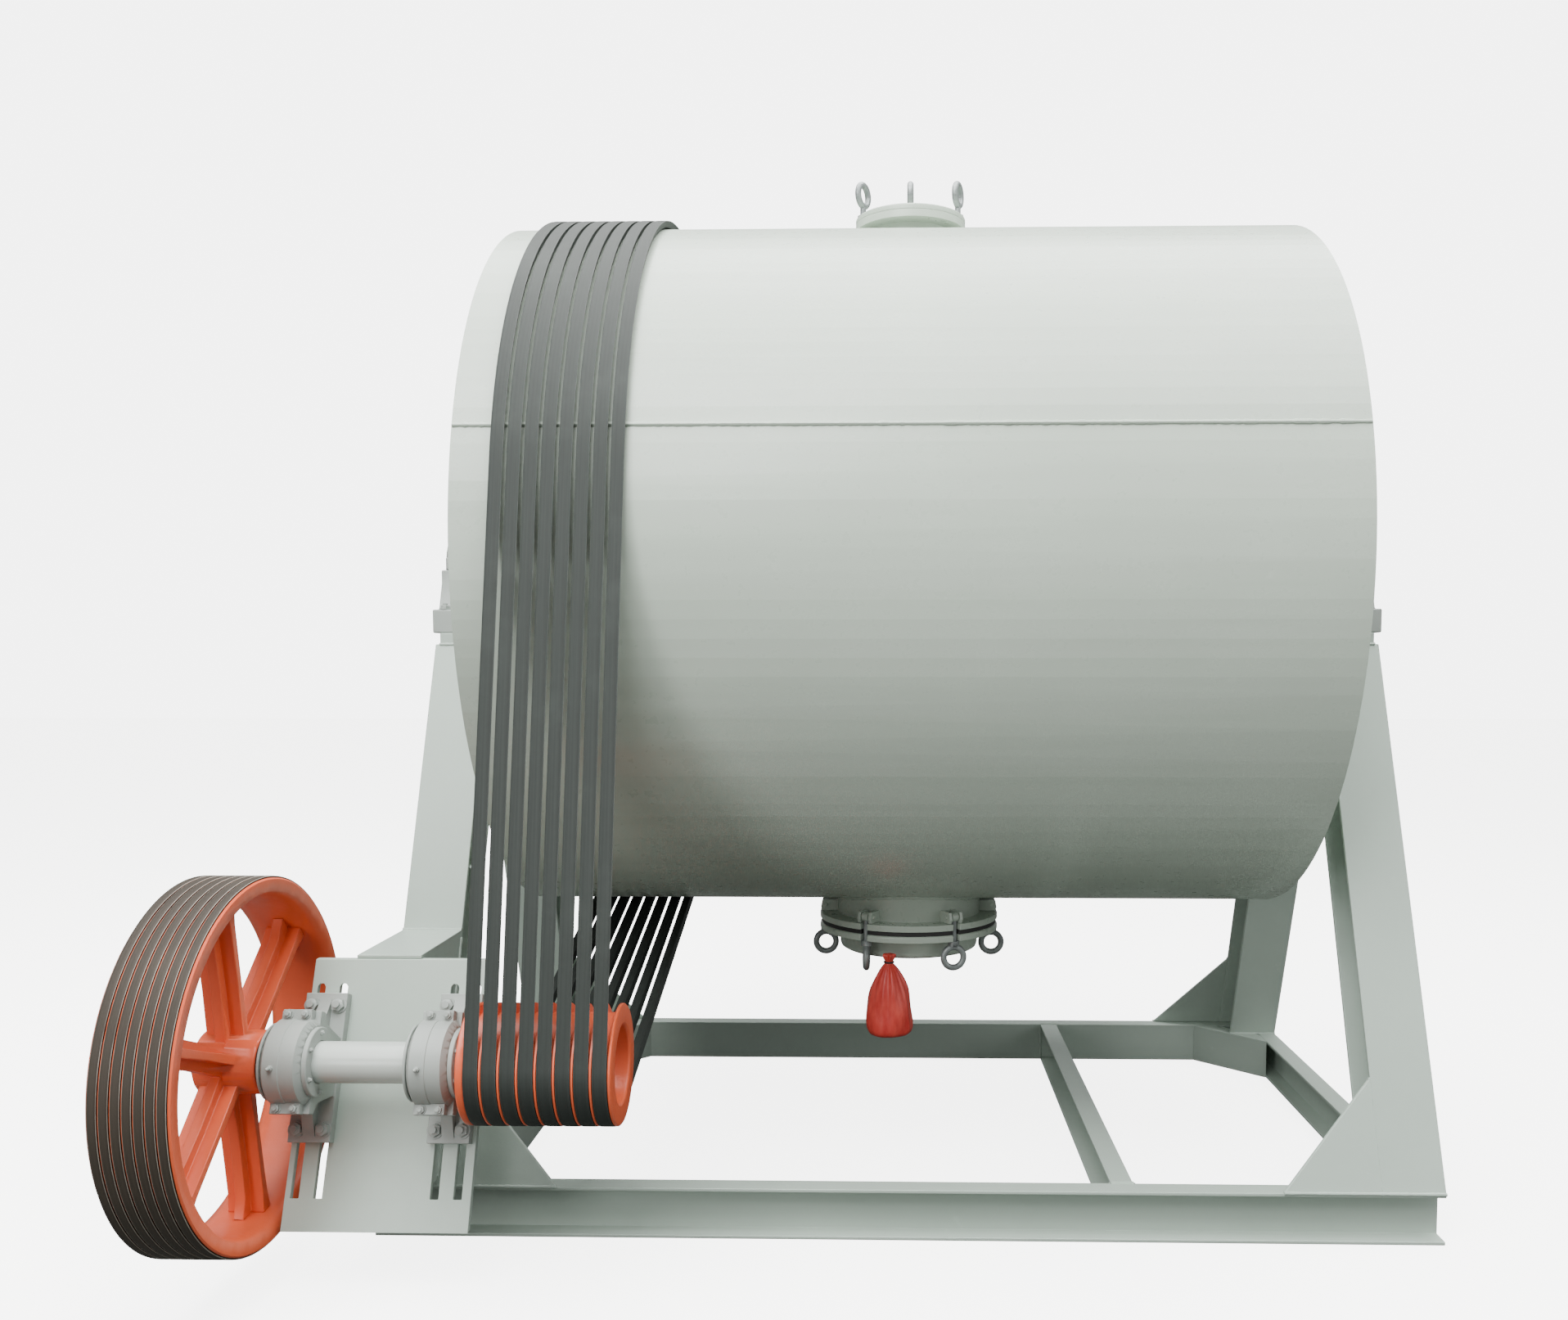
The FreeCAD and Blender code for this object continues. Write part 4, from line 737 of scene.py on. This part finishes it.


# ---- Belts from the jackshaft to the drum
# Eight endless V-belts of rubber wrapped in woven cloth. They lie on the bare drum by their narrow base and
# sit in the grooves of the small pulley; the cloth is polished in streaks along its length.
def belt_finish(name, dark, pale, gloss, edges, fray_and_highlight):
    """Cloth cover: its tones, where its pale edge lines lie round the section, and how pale they are.

    The edge lines are frayed cloth and a painted highlight.
    """
    cloth = Finish(name)
    flat = cloth.node("UVMap")
    length = cloth.node("SeparateXYZ", {}, {"Vector": flat}, output=0)
    across = cloth.node("SeparateXYZ", {}, {"Vector": flat}, output=1)
    long_wear = cloth.node("TexNoise", {}, {"Vector": cloth.node("Mapping", {}, {
        "Vector": flat, "Scale": (2.0, 160.0, 1.0)}), "Scale": 1.0, "Detail": 4.0})
    patches = cloth.noise(5.0, 5.0, 0.6)
    warp = cloth.node("Math", {"operation": "SINE"}, {0: (length + across) * 3600.0})
    weft = cloth.node("Math", {"operation": "SINE"}, {0: (length - across) * 3600.0})
    weave = warp * weft
    tone = cloth.colours(cloth.above(long_wear, 0.35, 0.70), dark + (1.0,), pale + (1.0,))
    tone = cloth.colours(cloth.above(patches, 0.55, 0.75) * 0.35, tone,
                         tuple(part * 1.7 for part in pale) + (1.0,))
    tone = cloth.colours(weave * 0.12 + 0.12, tone, tuple(part * 1.5 for part in pale) + (1.0,))
    # Pale lines in patches along both edges of the back: frayed cloth and a painted edge highlight.
    for place in edges:
        off = cloth.node("Math", {"operation": "ABSOLUTE"}, {0: across + (-place)})
        near = cloth.node("Math", {"operation": "LESS_THAN"}, {0: off, 1: 0.0011})
        tone = cloth.colours(near * cloth.above(patches, 0.25, 0.55) * 0.8, tone, fray_and_highlight + (1.0,))
    return cloth.surface(tone, long_wear * 0.18 + gloss, weave * 0.4 + cloth.noise(240.0, 3.0), bump=0.22,
                         distance=0.0006, Specular_IOR_Level=0.3)


# The last colour is that of the pale edge lines: frayed cloth and a painted highlight.
drive_cloth = belt_finish("drive_belt_cloth", (0.018, 0.022, 0.019), (0.031, 0.037, 0.033), 0.55,
                          (0.0360, 0.0660), (0.075, 0.082, 0.075))
BELT_BASE, BELT_SMALL = 0.905, 0.110
REACH = math.hypot(JACK.y, AXIS_HEIGHT - JACK.z)
TOWARDS = math.atan2(JACK.z - AXIS_HEIGHT, JACK.y)
OPENING = math.acos((BELT_BASE - BELT_SMALL) / REACH)


def belt_line():
    """Points and outward directions along the belt's base, once round."""
    upper, lower = TOWARDS - OPENING, TOWARDS + OPENING
    drum, jack = Vector((0.0, AXIS_HEIGHT)), Vector((JACK.y, JACK.z))
    line = []

    def sweep(centre, radius, start, end, steps):
        for n in range(steps):
            a = start + (end - start) * n / steps
            out = Vector((math.cos(a), math.sin(a)))
            line.append((centre + out * radius, out))

    def straight(first, last, a, steps):
        out = Vector((math.cos(a), math.sin(a)))
        line.extend((first.lerp(last, n / steps), out) for n in range(steps))

    def on(centre, radius, a):
        return centre + Vector((math.cos(a), math.sin(a))) * radius

    sweep(drum, BELT_BASE, lower, upper + 2 * math.pi, 110)
    straight(on(drum, BELT_BASE, upper), on(jack, BELT_SMALL, upper), upper, 14)
    sweep(jack, BELT_SMALL, upper, lower, 36)
    straight(on(jack, BELT_SMALL, lower), on(drum, BELT_BASE, lower), lower, 14)
    return line


def belt_mesh(name, line, section):
    """One closed belt: the section is (place across, height over the base) and goes once round."""
    shape = bmesh.new()
    sheet = shape.loops.layers.uv.new("belt")
    rows = [[shape.verts.new((x, (spot + out * h).x, (spot + out * h).y)) for x, h in section]
            for spot, out in line]
    travelled = [0.0]
    for (spot, _), (following, _) in zip(line, line[1:] + line[:1]):
        travelled.append(travelled[-1] + (following - spot).length)
    around = [0.0]
    for (x, h), (nx, nh) in zip(section, section[1:] + section[:1]):
        around.append(around[-1] + math.hypot(nx - x, nh - h))
    for k, row in enumerate(rows):
        following = rows[(k + 1) % len(rows)]
        for i in range(len(section)):
            j = (i + 1) % len(section)
            face = shape.faces.new((row[i], row[j], following[j], following[i]))
            for loop, (u, v) in zip(face.loops, ((k, i), (k, i + 1), (k + 1, i + 1), (k + 1, i))):
                loop[sheet].uv = (travelled[u], around[v])
    bmesh.ops.recalc_face_normals(shape, faces=shape.faces)
    mesh = bpy.data.meshes.new(name)
    shape.to_mesh(mesh)
    shape.free()
    return mesh


row_tree = Growth("row_of_belts")
how_many = row_tree.ask("Count", "Int")
start_at = row_tree.ask("First", "Vector")
step_by = row_tree.ask("Pitch", "Vector")
line = row_tree.node("GeometryNodeMeshLine", {}, {"Count": how_many, "Start Location": start_at,
                                                  "Offset": step_by})
row = row_tree.node("GeometryNodeInstanceOnPoints", {}, {"Points": line,
                                                         "Instance": row_tree.entry.outputs["Geometry"]})
row_tree.close(row)
DRIVE_SECTION = [(-0.0100, 0.0), (0.0100, 0.0), (0.0143, 0.0138), (0.0147, 0.0152), (0.0138, 0.0158),
                 (0.0080, 0.0160), (-0.0080, 0.0160), (-0.0138, 0.0158), (-0.0147, 0.0152), (-0.0143, 0.0138)]
DRIVE_COUNT, DRIVE_PITCH, DRIVE_X = 8, 0.037, -0.747
first_x = DRIVE_X - (DRIVE_COUNT - 1) / 2 * DRIVE_PITCH
drive = row_tree.grow("drive_belts_wrapped", belt_mesh("drive_belt", belt_line(), DRIVE_SECTION),
                      {"Count": DRIVE_COUNT, "First": (first_x, 0.0, 0.0), "Pitch": (DRIVE_PITCH, 0.0, 0.0),
                       "Finish": drive_cloth}, "frame", "belt_rubber", 45.0)
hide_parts("drive_belts")


# ---- Jackshaft, pulleys and motor belts
# A ground shaft painted over with the frame, a wide cast pulley of eight grooves and a large cast wheel of
# six ribbed spokes, both in orange enamel over a sand-cast skin. Seven belts lie in the wheel's grooves.
orange_paint = enamel("pulley_enamel", (0.78, 0.125, 0.044), (0.64, 0.090, 0.032), gloss=0.36, cast=1.1)
shaft_paint = enamel("shaft_enamel", (0.54, 0.59, 0.545), (0.47, 0.52, 0.475), gloss=0.20, peel=0.2)
dressed("jackshaft", 0.0, shaft_paint, flatten=False)
dressed("small_pulley", 0.0, orange_paint, flatten=False)
dressed("big_pulley_rim", 0.0, orange_paint, flatten=False)
dressed("big_pulley_spokes", 0.0040, orange_paint, flatten=False)
dressed("seal_ring", 0.001, rubber_finish)
# The last colour is that of the pale edge lines: frayed cloth and a painted highlight.
motor_cloth = belt_finish("motor_belt_cloth", (0.022, 0.017, 0.012), (0.042, 0.033, 0.024), 0.52,
                          (0.0226, 0.0406), (0.36, 0.33, 0.28))
MOTOR_SECTION = [(-0.0055, 0.0), (0.0055, 0.0), (0.0086, 0.0098), (0.0089, 0.0110), (0.0082, 0.0117),
                 (0.0045, 0.0120), (-0.0045, 0.0120), (-0.0082, 0.0117), (-0.0089, 0.0110), (-0.0086, 0.0098)]
MOTOR_BASE = 0.376
MOTOR_COUNT, MOTOR_PITCH, MOTOR_X = 7, 0.0214, -1.418
wheel = []
for turn in (2 * math.pi * n / 180 for n in range(180)):
    out = Vector((math.cos(turn), math.sin(turn)))
    wheel.append((Vector((JACK.y, JACK.z)) + out * MOTOR_BASE, out))
first_x = MOTOR_X - (MOTOR_COUNT - 1) / 2 * MOTOR_PITCH
motor = row_tree.grow("motor_belts_wrapped", belt_mesh("motor_belt", wheel, MOTOR_SECTION),
                      {"Count": MOTOR_COUNT, "First": (first_x, 0.0, 0.0), "Pitch": (MOTOR_PITCH, 0.0, 0.0),
                       "Finish": motor_cloth}, "jackshaft", "belt_rubber", 45.0)
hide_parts("motor_belts")
